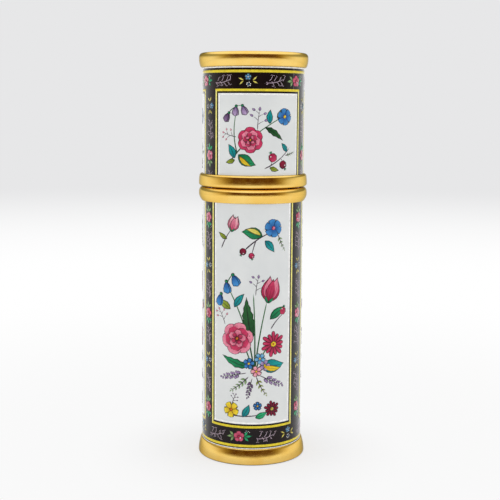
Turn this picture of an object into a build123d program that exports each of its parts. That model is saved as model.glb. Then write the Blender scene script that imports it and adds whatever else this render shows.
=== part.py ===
"""Swivel lipstick case: enamelled tubes in gilt collars, with a keyed refill that twists up.

Units are millimetres.  +Z is up, the front is -Y, and the origin is the centre of the foot,
on the surface that the case stands on.
"""

import os
from math import degrees, radians, tan
from typing import NamedTuple

from build123d import *


class CollarShape(NamedTuple):
    """A collar's profile along the axis, from its flanged end to the edge that laps the tube."""

    rounding: float  # height of the rounded end
    belly: float  # height of the straight part
    taper: float  # height of the curve from the belly to the edge
    drop: float  # radius lost in the rounded end


# ---------------------------------------------------------------- driving sizes: outside
CASE_HEIGHT = 82.0
SPLIT_HEIGHT = 55.4  # top of the body; the cap starts one SPLIT_GAP above it
SPLIT_GAP = 0.15
TUBE_WALL = 0.9
HOLDER_ROOM = 0.6  # between the refill's sleeve and the enamelled tube around it
COLLAR_PROUD = 0.75  # how far the collars stand out past the tubes
COLLAR_LIP = 0.1  # thickness of a collar where it laps the tube
LEDGE = 1.0  # thickness of the inner ledge that a tube's end stands on
PLATE_OVERLAP = 0.5  # how far an end plate's flange reaches past its boss, and its thickness
PLATE_RECESS = 0.35
PLATE_CROWN = 0.2

FOOT_COLLAR = CollarShape(rounding=0.35, belly=1.3, taper=1.55, drop=0.35)
BODY_MOUTH_COLLAR = CollarShape(rounding=0.85, belly=0.15, taper=1.8, drop=0.5)
CAP_MOUTH_COLLAR = CollarShape(rounding=1.1, belly=0.25, taper=1.2, drop=0.55)
CAP_TOP_COLLAR = CollarShape(rounding=0.65, belly=1.2, taper=1.0, drop=0.55)

# ---------------------------------------------------------------- clearances
GLUE_GAP = 0.03  # between pieces that are bonded or pressed together
STICK_GAP = 0.05  # between the stick and the cup that it is pressed into
RUN_GAP = 0.15  # between plastic pieces that turn or slide on each other
SHAFT_GAP = 0.04  # between the brake rings or the grip ring and what they rub on
STOP_GAP = 0.15  # end play along the axis
CUT_PAST = 1.0  # how far a cutting solid reaches past what it cuts

# ---------------------------------------------------------------- driving sizes: the stick
BULLET_RADIUS = 6.05
BULLET_LENGTH = 27.0
BULLET_SLANT = 48.0  # degrees that the tip's flat leans from level
BULLET_EDGE = 0.6
LIFT = 16.0
SWIVEL_TURN = 450.0  # degrees of turn that give the whole lift
TIP_DEPTH = 0.7  # how far the retracted tip lies below the neck's rim

# ---------------------------------------------------------------- driving sizes: the refill
CUP_WALL = 0.5
CUP_FLOOR = 0.8
CUP_DEPTH = 8.2
CUP_FOOT = 0.5  # from the cup's underside to the lower edge of its lugs
GUIDE_WALL = 0.65
GUIDE_TAIL = 10.25  # how far the guide reaches below the retracted lugs
SPIRAL_WALL = 0.65
HOLDER_WALL = 0.4
LUG_RADIUS = 0.7
LUG_TOP_DEPTH = 2.85  # how far the raised lugs stay below the top of the body
TRACK_DEPTH = 0.42
TRACK_ROOM = 0.1  # extra width of the spiral track, as it is cut square to the axis
TRACK_END_PLAY = 2.0  # degrees past the lug at each end of the spiral track
RING_HEIGHT = 0.6
RING_DEPTH = 0.3
RING_ROUND = 0.12
RING_SPLIT = 24.0  # degrees left open in a split ring
SNAP_ABOVE_END = 1.4  # from the guide's lower end to the middle of the snap ring
DISC_HEIGHT = 2.0
POST_RADIUS = 4.5
POST_LENGTH = 8.5
KEY_WIDTH = 1.2
KEY_REACH = 1.1
KEY_LENGTH = 6.5

# ---------------------------------------------------------------- driving sizes: base, neck, cap
SPIGOT_LENGTH = 9.85  # of the base plug, up inside the holder sleeve
WEIGHT_RADIUS = 6.5
WEIGHT_EDGE = 0.3
PLUG_WEB = 1.5  # of the base plug, between the weight and the socket
NECK_WALL = 0.35
NECK_STEP = 0.1  # how much wider the neck is than the refill below it
NECK_FLANGE_REACH = 0.55
NECK_RIM_ROUND = 0.28
NECK_RIM_GAP = 0.1  # between the turned-in rim and the guide's bore
LINER_WALL = 0.35
LINER_GAP = 0.09  # a layer of cement between the liner and the cap's tube
GRIP_HEIGHT = 1.2
GRIP_GAP = 0.12  # around the grip ring, so that it can open
GRIP_BEAD = 0.3
BEAD_ROOT = 0.1  # how far a bead is sunk in the liner's wall

# ---------------------------------------------------------------- derived radii, outwards
cup_bore = BULLET_RADIUS + STICK_GAP
cup_radius = cup_bore + CUP_WALL
guide_bore = cup_radius + RUN_GAP
guide_radius = guide_bore + GUIDE_WALL
spiral_bore = guide_radius + RUN_GAP
spiral_radius = spiral_bore + SPIRAL_WALL
holder_bore = spiral_radius + RUN_GAP
holder_radius = holder_bore + HOLDER_WALL
tube_bore = holder_radius + HOLDER_ROOM
tube_radius = tube_bore + TUBE_WALL
collar_radius = tube_radius + COLLAR_PROUD
collar_bore = tube_radius + GLUE_GAP
plate_bore = tube_bore - PLATE_OVERLAP
neck_radius = spiral_radius + NECK_STEP
neck_bore = neck_radius - NECK_WALL
neck_flange_radius = neck_radius + NECK_FLANGE_REACH
neck_rim_bore = guide_bore + NECK_RIM_GAP
guide_head_radius = neck_bore - GLUE_GAP
liner_radius = tube_bore - LINER_GAP
liner_bore = liner_radius - LINER_WALL
grip_bore = neck_radius + SHAFT_GAP
grip_radius = liner_bore - GRIP_GAP
grip_bead_bore = grip_radius - GRIP_BEAD
ring_bore = guide_radius - RING_DEPTH + GLUE_GAP

# ---------------------------------------------------------------- derived heights, body and cap
cap_base = SPLIT_HEIGHT + SPLIT_GAP
body_tube_low = LEDGE + GLUE_GAP
body_tube_high = SPLIT_HEIGHT - LEDGE - GLUE_GAP
cap_tube_low = cap_base + LEDGE + GLUE_GAP
cap_tube_high = CASE_HEIGHT - LEDGE - GLUE_GAP
foot_plate_top = LEDGE + PLATE_OVERLAP
cap_plate_low = CASE_HEIGHT - LEDGE - PLATE_OVERLAP

# ---------------------------------------------------------------- derived heights, mechanism
lug_height = SPLIT_HEIGHT - LUG_TOP_DEPTH - LIFT
slot_low = lug_height - LUG_RADIUS - RUN_GAP
slot_high = lug_height + LIFT + LUG_RADIUS + RUN_GAP
cup_low = lug_height - LUG_RADIUS - CUP_FOOT
cup_high = cup_low + CUP_FLOOR + CUP_DEPTH
bullet_base = cup_low + CUP_FLOOR + STICK_GAP
bullet_tip = bullet_base + BULLET_LENGTH
neck_low = SPLIT_HEIGHT + STOP_GAP
neck_flange_top = neck_low + NECK_WALL
neck_top = bullet_tip + TIP_DEPTH
guide_low = lug_height - GUIDE_TAIL
guide_top = neck_top - NECK_WALL - GLUE_GAP
disc_top = guide_low - 2 * STOP_GAP
spiral_low = disc_top - DISC_HEIGHT
post_low = spiral_low - POST_LENGTH
socket_low = post_low - STOP_GAP
plug_top = spiral_low - STOP_GAP
plug_shoulder = plug_top - SPIGOT_LENGTH
weight_low = foot_plate_top + GLUE_GAP
weight_high = socket_low - PLUG_WEB
snap_centre = guide_low + SNAP_ABOVE_END
brake_centres = ((snap_centre + slot_low) / 2, (slot_high + SPLIT_HEIGHT) / 2)
grip_low = (neck_flange_top + neck_top - GRIP_HEIGHT) / 2
liner_low = neck_flange_top + 1.5 * STOP_GAP
liner_high = cap_plate_low - STOP_GAP

# ---------------------------------------------------------------- derived track
track_pitch = LIFT * 360.0 / SWIVEL_TURN
track_radius = spiral_bore + TRACK_DEPTH
track_width = 2 * (LUG_RADIUS + RUN_GAP) + TRACK_ROOM
track_lead = degrees(LUG_RADIUS / spiral_bore) + TRACK_END_PLAY
lug_reach = track_radius - RUN_GAP


def tube(outer, inner, low, high):
    """A plain tube on the Z axis between two heights."""
    ring = Circle(outer) - Circle(inner)
    return extrude(Plane.XY.offset(low) * ring, amount=high - low)


def rod(radius, low, high):
    """A solid round bar on the Z axis between two heights."""
    return extrude(Plane.XY.offset(low) * Circle(radius), amount=high - low)


def block(length, width, low, high):
    """A rectangular block, centred on the Z axis, between two heights."""
    return extrude(Plane.XY.offset(low) * Rectangle(length, width), amount=high - low)


def turned(outline):
    """A solid turned about Z from a closed outline of wires in the XZ plane."""
    return revolve(make_face(outline), axis=Axis.Z)


def collar(end, towards_edge, shape, ledge_bore):
    """A rounded collar with an inner ledge at its end, lapping a tube at its edge.

    end is the height of the flanged end, and towards_edge is +1 where the edge is above it and
    -1 where it is below.
    """
    belly_start = end + towards_edge * shape.rounding
    belly_end = belly_start + towards_edge * shape.belly
    edge = belly_end + towards_edge * shape.taper
    seat = end + towards_edge * LEDGE
    end_radius = collar_radius - shape.drop
    lip_radius = collar_bore + COLLAR_LIP
    outline = [
        TangentArc(
            (collar_radius, 0, belly_start),
            (end_radius, 0, end),
            tangent=(0, 0, -towards_edge),
        ),
        Line((collar_radius, 0, belly_start), (collar_radius, 0, belly_end)),
        TangentArc(
            (collar_radius, 0, belly_end),
            (lip_radius, 0, edge),
            tangent=(0, 0, towards_edge),
        ),
        Polyline(
            (lip_radius, 0, edge),
            (collar_bore, 0, edge),
            (collar_bore, 0, seat),
            (ledge_bore, 0, seat),
            (ledge_bore, 0, end),
            (end_radius, 0, end),
        ),
    ]
    return turned(outline)


def split_ring(outer, inner, low, high):
    """A spring ring with a gap of RING_SPLIT degrees at the back."""
    reach = outer + CUT_PAST
    half_gap = reach * tan(radians(RING_SPLIT / 2))
    gap = make_face(Polyline((0, 0), (half_gap, reach), (-half_gap, reach), close=True))
    cut = extrude(Plane.XY.offset(low - CUT_PAST) * gap, amount=high - low + 2 * CUT_PAST)
    return tube(outer, inner, low, high) - cut


def end_plate(seat, outwards):
    """A crowned disc that closes a collar: a boss in the ledge's bore, and a flange behind it.

    seat is the height of the ledge's inner side, and outwards is +1 for the top and -1 for the
    foot.
    """
    boss_radius = plate_bore - GLUE_GAP
    flange_radius = tube_bore - GLUE_GAP
    face = seat + outwards * (LEDGE - PLATE_RECESS)
    rim = face - outwards * PLATE_CROWN
    back = seat - outwards * (PLATE_OVERLAP - GLUE_GAP)
    crown = ThreePointArc((-boss_radius, 0, rim), (0, 0, face), (boss_radius, 0, rim))
    outline = [
        crown.trim(0.5, 1.0),
        Polyline(
            (boss_radius, 0, rim),
            (boss_radius, 0, seat),
            (flange_radius, 0, seat),
            (flange_radius, 0, back),
            (0, 0, back),
            (0, 0, face),
        ),
    ]
    return turned(outline)


def spiral_track(start_angle):
    """The helical groove that one lug follows, as a solid to cut away."""
    turn = SWIVEL_TURN + 2 * track_lead
    rise = track_pitch * turn / 360.0
    start = lug_height - track_pitch * track_lead / 360.0
    inner = spiral_bore - RING_DEPTH
    middle = (inner + track_radius) / 2
    path = Helix(pitch=track_pitch, height=rise, radius=middle)
    section = Plane.XZ * Pos(middle, 0) * Rectangle(track_radius - inner, track_width)
    groove = sweep(section, path=path, binormal=Edge.make_line((0, 0, 0), (0, 0, rise)))
    return Pos(0, 0, start) * Rot(0, 0, start_angle - track_lead) * groove


# ---------------------------------------------------------------- the case body
def make_body_tube():
    """The enamelled copper tube of the body."""
    return tube(tube_radius, tube_bore, body_tube_low, body_tube_high)


def make_body_mouth_collar():
    """The gilt collar round the mouth of the body."""
    return collar(SPLIT_HEIGHT, -1, BODY_MOUTH_COLLAR, holder_radius + GLUE_GAP)


def make_foot_collar():
    """The gilt collar that the case stands on."""
    return collar(0, 1, FOOT_COLLAR, plate_bore)


def make_foot_plate():
    """The gilt disc that closes the foot."""
    return end_plate(LEDGE + GLUE_GAP, -1)


def make_base_plug():
    """A moulded plug: weight pocket below, keyed socket above, shoulder for the holder."""
    plug = rod(tube_bore - GLUE_GAP, foot_plate_top + GLUE_GAP, plug_shoulder)
    plug += rod(holder_bore - GLUE_GAP, plug_shoulder, plug_top)
    plug -= rod(WEIGHT_RADIUS + GLUE_GAP, foot_plate_top, weight_high + GLUE_GAP)
    plug -= rod(POST_RADIUS + RUN_GAP, socket_low, plug_top + CUT_PAST)
    key_length = 2 * (POST_RADIUS + KEY_REACH + RUN_GAP)
    key_width = KEY_WIDTH + 2 * RUN_GAP
    return plug - block(key_length, key_width, socket_low, plug_top + CUT_PAST)


def make_base_weight():
    """The turned steel weight in the base plug."""
    return chamfer(rod(WEIGHT_RADIUS, weight_low, weight_high).edges(), WEIGHT_EDGE)


def make_holder_sleeve():
    """The thin brass sleeve that the refill slides into."""
    return tube(holder_radius, holder_bore, plug_shoulder + GLUE_GAP, SPLIT_HEIGHT - GLUE_GAP)


# ---------------------------------------------------------------- the refill
def make_spiral_tube():
    """The outer refill tube, with two spiral tracks and a groove for the snap ring."""
    half = (RING_HEIGHT + RUN_GAP) / 2
    body = tube(spiral_radius, spiral_bore, spiral_low, SPLIT_HEIGHT)
    body -= tube(spiral_bore + RING_DEPTH, guide_radius, snap_centre - half, snap_centre + half)
    for start_angle in (0, 180):
        body -= spiral_track(start_angle)
    return body


def make_drive_plug():
    """The disc that closes the refill, with a keyed post below it."""
    plug = rod(spiral_bore - GLUE_GAP, spiral_low, disc_top)
    plug += rod(POST_RADIUS, post_low, spiral_low)
    return plug + block(2 * (POST_RADIUS + KEY_REACH), KEY_WIDTH, post_low, post_low + KEY_LENGTH)


# ---------------------------------------------------------------- the turning guide
def make_guide_tube():
    """The slotted inner tube, with a thick head that carries the gilt neck."""
    guide = rod(guide_radius, guide_low, neck_low + GLUE_GAP)
    guide += rod(guide_head_radius, neck_low, guide_top)
    guide -= rod(guide_bore, guide_low - CUT_PAST, guide_top + CUT_PAST)
    guide -= block(4 * guide_radius, 2 * (LUG_RADIUS + RUN_GAP), slot_low, slot_high)
    half = RING_HEIGHT / 2 + GLUE_GAP
    for centre in (*brake_centres, snap_centre):
        guide -= tube(spiral_bore, guide_radius - RING_DEPTH, centre - half, centre + half)
    return guide


def make_brake_rings():
    """Two soft rings that rub in the spiral tube and hold the swivel where it is left."""
    outer = spiral_bore - SHAFT_GAP
    half = RING_HEIGHT / 2
    rings = [tube(outer, ring_bore, centre - half, centre + half) for centre in brake_centres]
    return Compound([fillet(ring.edges(), RING_ROUND) for ring in rings])


def make_snap_ring():
    """The split ring that keeps the guide in the spiral tube."""
    outer = spiral_bore + RING_DEPTH - RUN_GAP / 2
    half = RING_HEIGHT / 2
    return split_ring(outer, ring_bore, snap_centre - half, snap_centre + half)


def make_neck_sleeve():
    """The gilt neck: a flange over the body's mouth, a plain wall and a turned-in rim."""
    rim_low = neck_top - NECK_WALL
    round_start = (neck_radius, 0, neck_top - NECK_RIM_ROUND)
    round_end = (neck_radius - NECK_RIM_ROUND, 0, neck_top)
    outline = [
        Polyline(
            round_end,
            (neck_rim_bore, 0, neck_top),
            (neck_rim_bore, 0, rim_low),
            (neck_bore, 0, rim_low),
            (neck_bore, 0, neck_low),
            (neck_flange_radius, 0, neck_low),
            (neck_flange_radius, 0, neck_flange_top),
            (neck_radius, 0, neck_flange_top),
            round_start,
        ),
        TangentArc(round_start, round_end, tangent=(0, 0, 1)),
    ]
    return turned(outline)


# ---------------------------------------------------------------- the carrier
def make_product_cup():
    """The cup that carries the lipstick, with two lugs that run in the slots and tracks."""
    cup = rod(cup_radius, cup_low, cup_high)
    cup -= rod(cup_bore, cup_low + CUP_FLOOR, cup_high + CUT_PAST)
    pin = Cylinder(LUG_RADIUS, 2 * lug_reach)
    hollow = Cylinder(2 * LUG_RADIUS, cup_bore + cup_radius)
    return cup + Pos(0, 0, lug_height) * Rot(0, 90, 0) * (pin - hollow)


def make_lipstick_bullet():
    """The moulded stick of lipstick, with a slanted tip that faces the front."""
    stick = rod(BULLET_RADIUS, bullet_base, bullet_tip)
    reach = 2 * BULLET_LENGTH
    cut = Box(reach, reach, BULLET_LENGTH, align=(Align.CENTER, Align.MAX, Align.MIN))
    stick -= Pos(0, BULLET_RADIUS, bullet_tip) * Rot(BULLET_SLANT, 0, 0) * cut
    slanted_face = stick.faces().filter_by(GeomType.PLANE).sort_by(Axis.Z)[-1]
    return fillet(slanted_face.edges(), BULLET_EDGE)


# ---------------------------------------------------------------- the cap
def make_grip_ring():
    """The split spring ring in the cap that grips the neck."""
    return split_ring(grip_radius, grip_bore, grip_low, grip_low + GRIP_HEIGHT)


def make_cap_tube():
    """The enamelled copper tube of the cap."""
    return tube(tube_radius, tube_bore, cap_tube_low, cap_tube_high)


def make_cap_mouth_collar():
    """The gilt collar round the mouth of the cap."""
    return collar(cap_base, 1, CAP_MOUTH_COLLAR, liner_radius + GLUE_GAP)


def make_cap_top_collar():
    """The gilt collar round the top of the cap."""
    return collar(CASE_HEIGHT, -1, CAP_TOP_COLLAR, plate_bore)


def make_cap_top_plate():
    """The gilt disc that closes the cap."""
    return end_plate(CASE_HEIGHT - LEDGE - GLUE_GAP, 1)


def make_cap_liner():
    """A drawn cup inside the cap, with two beads that trap the grip ring."""
    liner = rod(liner_radius, liner_low, liner_high)
    liner -= rod(liner_bore, liner_low - CUT_PAST, liner_high - LINER_WALL)
    under_ring = grip_low - STOP_GAP - GRIP_BEAD
    over_ring = grip_low + GRIP_HEIGHT + STOP_GAP
    for bead_low in (under_ring, over_ring):
        liner += tube(liner_bore + BEAD_ROOT, grip_bead_bore, bead_low, bead_low + GRIP_BEAD)
    return liner


PARTS = {
    "body_tube": make_body_tube,
    "body_mouth_collar": make_body_mouth_collar,
    "foot_collar": make_foot_collar,
    "foot_plate": make_foot_plate,
    "base_plug": make_base_plug,
    "base_weight": make_base_weight,
    "holder_sleeve": make_holder_sleeve,
    "spiral_tube": make_spiral_tube,
    "drive_plug": make_drive_plug,
    "guide_tube": make_guide_tube,
    "neck_sleeve": make_neck_sleeve,
    "brake_rings": make_brake_rings,
    "snap_ring": make_snap_ring,
    "product_cup": make_product_cup,
    "lipstick_bullet": make_lipstick_bullet,
    "grip_ring": make_grip_ring,
    "cap_tube": make_cap_tube,
    "cap_mouth_collar": make_cap_mouth_collar,
    "cap_top_collar": make_cap_top_collar,
    "cap_top_plate": make_cap_top_plate,
    "cap_liner": make_cap_liner,
}


def main():
    """Builds every piece and writes one STEP file for each."""
    os.makedirs("parts", exist_ok=True)
    for name, make in PARTS.items():
        export_step(make(), f"parts/{name}.step")


main()
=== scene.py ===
"""Looks of a swivel lipstick case: gilt collars, painted enamel tubes and the twist-up stick."""

import logging
import math
import random
from collections.abc import Iterator
from dataclasses import dataclass, field, replace
from enum import Enum

import bmesh
import bpy
from mathutils import Matrix, Vector


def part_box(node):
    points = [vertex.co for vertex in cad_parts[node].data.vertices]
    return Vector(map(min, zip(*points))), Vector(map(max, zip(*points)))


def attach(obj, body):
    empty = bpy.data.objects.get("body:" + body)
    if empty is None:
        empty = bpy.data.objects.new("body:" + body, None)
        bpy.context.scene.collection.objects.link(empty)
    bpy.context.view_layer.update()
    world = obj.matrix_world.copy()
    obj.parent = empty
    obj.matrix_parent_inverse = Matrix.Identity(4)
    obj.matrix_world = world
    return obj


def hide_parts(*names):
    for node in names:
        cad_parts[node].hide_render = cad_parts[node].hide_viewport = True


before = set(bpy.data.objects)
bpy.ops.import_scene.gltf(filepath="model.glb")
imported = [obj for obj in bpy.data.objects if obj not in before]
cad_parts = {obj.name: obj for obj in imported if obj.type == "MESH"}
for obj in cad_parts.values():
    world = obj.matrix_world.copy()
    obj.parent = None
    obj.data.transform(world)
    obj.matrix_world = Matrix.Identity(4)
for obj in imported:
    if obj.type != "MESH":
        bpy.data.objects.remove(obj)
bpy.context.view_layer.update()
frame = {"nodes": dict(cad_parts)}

LOG = logging.getLogger("lipstick_case")
MM = 0.001
TOUCHING = 1e-8  # vertices nearer to each other than this are merged, in metres
Colour = tuple[float, float, float, float]
Point = tuple[float, float]
Socket = bpy.types.NodeSocket
Node = bpy.types.Node


def tint(red: int, green: int, blue: int) -> Colour:
    """Turns a display colour of 0 to 255 into the linear colour that shaders take.

    Args:
        red: Red as displayed.
        green: Green as displayed.
        blue: Blue as displayed.

    Returns:
        The linear colour, with an alpha of 1.
    """
    def linear(value: int) -> float:
        """One channel, by the sRGB curve."""
        part = value / 255
        return part / 12.92 if part <= 0.04045 else ((part + 0.055) / 1.055) ** 2.4

    return linear(red), linear(green), linear(blue), 1.0


def blend_colours(first: Colour, second: Colour, share: float) -> Colour:
    """Mixes two colours, with share of the second."""
    mixed = [a + (b - a) * share for a, b in zip(first, second)]
    return mixed[0], mixed[1], mixed[2], 1.0


def direction(angle: float) -> Vector:
    """A unit vector of the surface at an angle in radians."""
    return Vector((math.cos(angle), math.sin(angle)))


def chord_share(half_turn: float) -> float:
    """Chord of an arc as a share of its length, where half_turn is half the arc's angle."""
    return math.sin(half_turn) / half_turn if abs(half_turn) > 1e-6 else 1.0


def around(count: int, start: float = 0.0) -> Iterator[float]:
    """Yields count even headings round a circle, in degrees."""
    for number in range(count):
        yield start + number * 360 / count


# ------------------------------------------------------------------ shader building


class Graph:
    """A node tree, with short ways to add nodes and join them."""

    def __init__(self, tree: bpy.types.NodeTree) -> None:
        """Keeps the tree and clears it."""
        self.tree = tree
        tree.nodes.clear()

    def node(self, kind: str, **settings: object) -> Node:
        """Adds a node.

        Args:
            kind: The node's class name, without "ShaderNode".
            settings: Values for the node's own properties.

        Returns:
            The new node.
        """
        made = self.tree.nodes.new("ShaderNode" + kind)
        for name, value in settings.items():
            setattr(made, name, value)
        return made

    def feed(self, node: Node, sources: dict[str | int, object]) -> Node:
        """Gives a node's inputs their links, numbers or colours.

        Args:
            node: The node.
            sources: What each input gets, by the input's name or number.

        Returns:
            The node.
        """
        for key, source in sources.items():
            if isinstance(source, Socket):
                self.tree.links.new(source, node.inputs[key])
            else:
                node.inputs[key].default_value = source
        return node

    def math(self, operation: str, *sources: object) -> Socket:
        """Adds a Math node and returns its result."""
        return self.feed(self.node("Math", operation=operation), dict(enumerate(sources))).outputs[0]

    def times(self, first: object, second: object) -> Socket:
        """Multiplies two values."""
        return self.math("MULTIPLY", first, second)

    def zigzag(self, value: Socket) -> Socket:
        """Runs from 0.5 at each whole number to 0 halfway between them."""
        return self.math("ABSOLUTE", self.math("SUBTRACT", self.math("FRACT", value), 0.5))

    def mix(self, share: object, first: object, second: object, how: str = "MIX") -> Socket:
        """Mixes two colours and returns the result."""
        made = self.node("Mix", data_type="RGBA", blend_type=how)
        return self.feed(made, {0: share, 6: first, 7: second}).outputs[2]

    def span(self, value: Socket, *ends: object) -> Socket:
        """Maps a value smoothly from one range to another.

        Args:
            value: The value.
            ends: Low and high of its range, then what they become, where that isn't 0 and 1.

        Returns:
            The mapped value.
        """
        made = self.node("MapRange", interpolation_type="SMOOTHSTEP")
        low, high, *results = ends
        return self.feed(made, dict(enumerate((value, low, high, *(results or (0.0, 1.0)))))).outputs[0]

    def noise(self, vector: Socket, scale: object, detail: float, rough: float) -> Socket:
        """Adds a Noise Texture and returns its factor."""
        sources = {"Vector": vector, "Scale": scale, "Detail": detail, "Roughness": rough}
        return self.feed(self.node("TexNoise"), sources).outputs["Fac"]

    def stretch(self, vector: Socket, scale: tuple[float, float, float]) -> Socket:
        """Stretches a vector."""
        return self.feed(self.node("Mapping"), {"Vector": vector, "Scale": scale}).outputs[0]

    def split(self, vector: Socket) -> tuple[Socket, ...]:
        """Splits a vector into its three parts."""
        return tuple(self.feed(self.node("SeparateXYZ"), {0: vector}).outputs)

    def bearing(self, x: Socket, y: Socket) -> Socket:
        """Angle round the upright axis, in radians from the front."""
        return self.math("ARCTAN2", x, self.times(y, -1.0))

    def place(self) -> Socket:
        """Object coordinates, in metres."""
        return self.node("TexCoord").outputs["Object"]

    def attribute(self, name: str, outlet: str = "Fac") -> Socket:
        """Reads an attribute of the mesh."""
        return self.node("Attribute", attribute_name=name).outputs[outlet]

    def bump(self, height: Socket, strength: float, distance: float, under: Socket | None = None) -> Socket:
        """Raises the surface by a height.

        Args:
            height: The height.
            strength: How strongly it shows.
            distance: How high 1 is, in metres.
            under: The normal that it is laid over, if any.

        Returns:
            The new normal.
        """
        made = self.feed(self.node("Bump"), {"Height": height, "Strength": strength, "Distance": distance})
        if under is not None:
            self.feed(made, {"Normal": under})
        return made.outputs[0]

    def call(self, group: bpy.types.NodeTree, **sources: object) -> bpy.types.bpy_prop_collection:
        """Places a shader group and returns its outputs."""
        return self.feed(self.node("Group", node_tree=group), sources).outputs


class Group(Graph):
    """A shader group that is being built."""

    def __init__(self, name: str, inputs: dict[str, str], outputs: dict[str, str]) -> None:
        """Makes the group with its sockets.

        Args:
            name: The group's name.
            inputs: Names and socket classes of the inputs.
            outputs: Names and socket classes of the outputs.
        """
        super().__init__(bpy.data.node_groups.new(name, "ShaderNodeTree"))
        for way, sockets in (("INPUT", inputs), ("OUTPUT", outputs)):
            for label, kind in sockets.items():
                self.tree.interface.new_socket(name=label, in_out=way, socket_type="NodeSocket" + kind)
        self.given = self.tree.nodes.new("NodeGroupInput").outputs
        self.result = self.tree.nodes.new("NodeGroupOutput")


def new_material(name: str) -> tuple[bpy.types.Material, Graph]:
    """Makes an empty material, with the graph to fill it.

    Args:
        name: The material's name.

    Returns:
        The material and its graph.
    """
    material = bpy.data.materials.new(name)
    material.use_nodes = True
    return material, Graph(material.node_tree)


class SharedEffects:
    """The shader groups that more than one material uses, each built once."""

    def __init__(self) -> None:
        """Builds the groups."""
        self.turned_lines = self._turned_lines()
        self.polish_waves = self._polish_waves()
        self.fine_dust = self._fine_dust()
        self.brushwork = self._brushwork()

    @staticmethod
    def _turned_lines() -> bpy.types.NodeTree:
        """Fine lines round the axis, as a lathe or a polishing mop leaves them."""
        group = Group(
            "turned_lines", {"Place": "Vector", "Density": "Float"}, {"Height": "Float", "Mask": "Float"}
        )
        rings = group.stretch(group.given["Place"], (0.06, 0.06, 1.0))
        lines = group.noise(rings, group.given["Density"], 4.0, 0.7)
        group.feed(group.result, {"Height": lines, "Mask": group.span(lines, 0.45, 0.75)})
        return group.tree

    @staticmethod
    def _polish_waves() -> bpy.types.NodeTree:
        """Low waves that hand polishing leaves in soft metal or fired glass."""
        group = Group("polish_waves", {"Place": "Vector", "Scale": "Float"}, {"Height": "Float"})
        place, scale = group.given["Place"], group.given["Scale"]
        wide = group.noise(place, scale, 1.0, 0.4)
        narrow = group.noise(place, group.times(scale, 3.1), 2.0, 0.5)
        group.feed(group.result, {"Height": group.math("MULTIPLY_ADD", narrow, 0.3, wide)})
        return group.tree

    @staticmethod
    def _fine_dust() -> bpy.types.NodeTree:
        """Sparse specks and faint smears, as masks."""
        group = Group(
            "fine_dust", {"Place": "Vector", "Scale": "Float"}, {"Specks": "Float", "Smears": "Float"}
        )
        place, scale = group.given["Place"], group.given["Scale"]
        cells = group.feed(group.node("TexVoronoi"), {"Vector": place, "Scale": scale})
        specks = group.span(cells.outputs["Distance"], 0.05, 0.11, 1.0, 0.0)
        smears = group.span(group.noise(place, group.times(scale, 0.12), 3.0, 0.6), 0.4, 0.75)
        group.feed(group.result, {"Specks": specks, "Smears": smears})
        return group.tree

    @staticmethod
    def _brushwork() -> bpy.types.NodeTree:
        """Outline, veins and hatching of one painted shape, from its own map."""
        group = Group(
            "brushwork",
            {"Paint": "Color", "Edge": "Float", "Stroke": "Vector", "Veins": "Float"},
            {"Color": "Color", "Height": "Float"},
        )
        paint, veins = group.given["Paint"], group.given["Veins"]
        along, across, _ = group.split(group.given["Stroke"])
        off_middle = group.math("ABSOLUTE", group.math("SUBTRACT", across, 0.5))
        rib = group.span(off_middle, 0.03, 0.06, 1.0, 0.0)
        slant = group.math("MULTIPLY_ADD", off_middle, -9.0, group.times(along, 9.0))
        side_veins = group.span(group.zigzag(slant), 0.04, 0.13, 1.0, 0.0)
        leaf_lines = group.math("MAXIMUM", rib, group.times(side_veins, 0.6))
        hatching = group.span(group.zigzag(group.times(across, 5.0)), 0.05, 0.2, 1.0, 0.0)
        petal_lines = group.times(hatching, group.span(along, 0.15, 0.8, 0.9, 0.0))
        on_leaf = group.times(leaf_lines, group.math("MAXIMUM", veins, 0.0))
        on_petal = group.times(petal_lines, group.math("MAXIMUM", group.times(veins, -1.0), 0.0))
        drawn = group.math("ADD", on_leaf, on_petal)
        dark = group.mix(0.86, paint, tint(20, 12, 22))
        shaded = group.mix(group.times(drawn, 0.75), paint, dark)
        outline = group.span(group.given["Edge"], 0.75, 1.0, 1.0, 0.0)
        height = group.math("SUBTRACT", 1.0, group.times(drawn, 0.5))
        group.feed(group.result, {"Color": group.mix(outline, shaded, dark), "Height": height})
        return group.tree


# ------------------------------------------------------------------ finishes


@dataclass(frozen=True)
class Gloss:
    """Numbers of a surface's shine that are the same all over it."""

    metallic: float = 0.0
    roughness: float = 0.4
    coat: float = 0.0
    coat_roughness: float = 0.03
    subsurface: float = 0.0
    slant_tint: Colour = (1.0, 1.0, 1.0, 1.0)  # how metal tones its mirroring at a slant


GLAZE = Gloss(roughness=0.2, coat_roughness=0.02)


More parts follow.
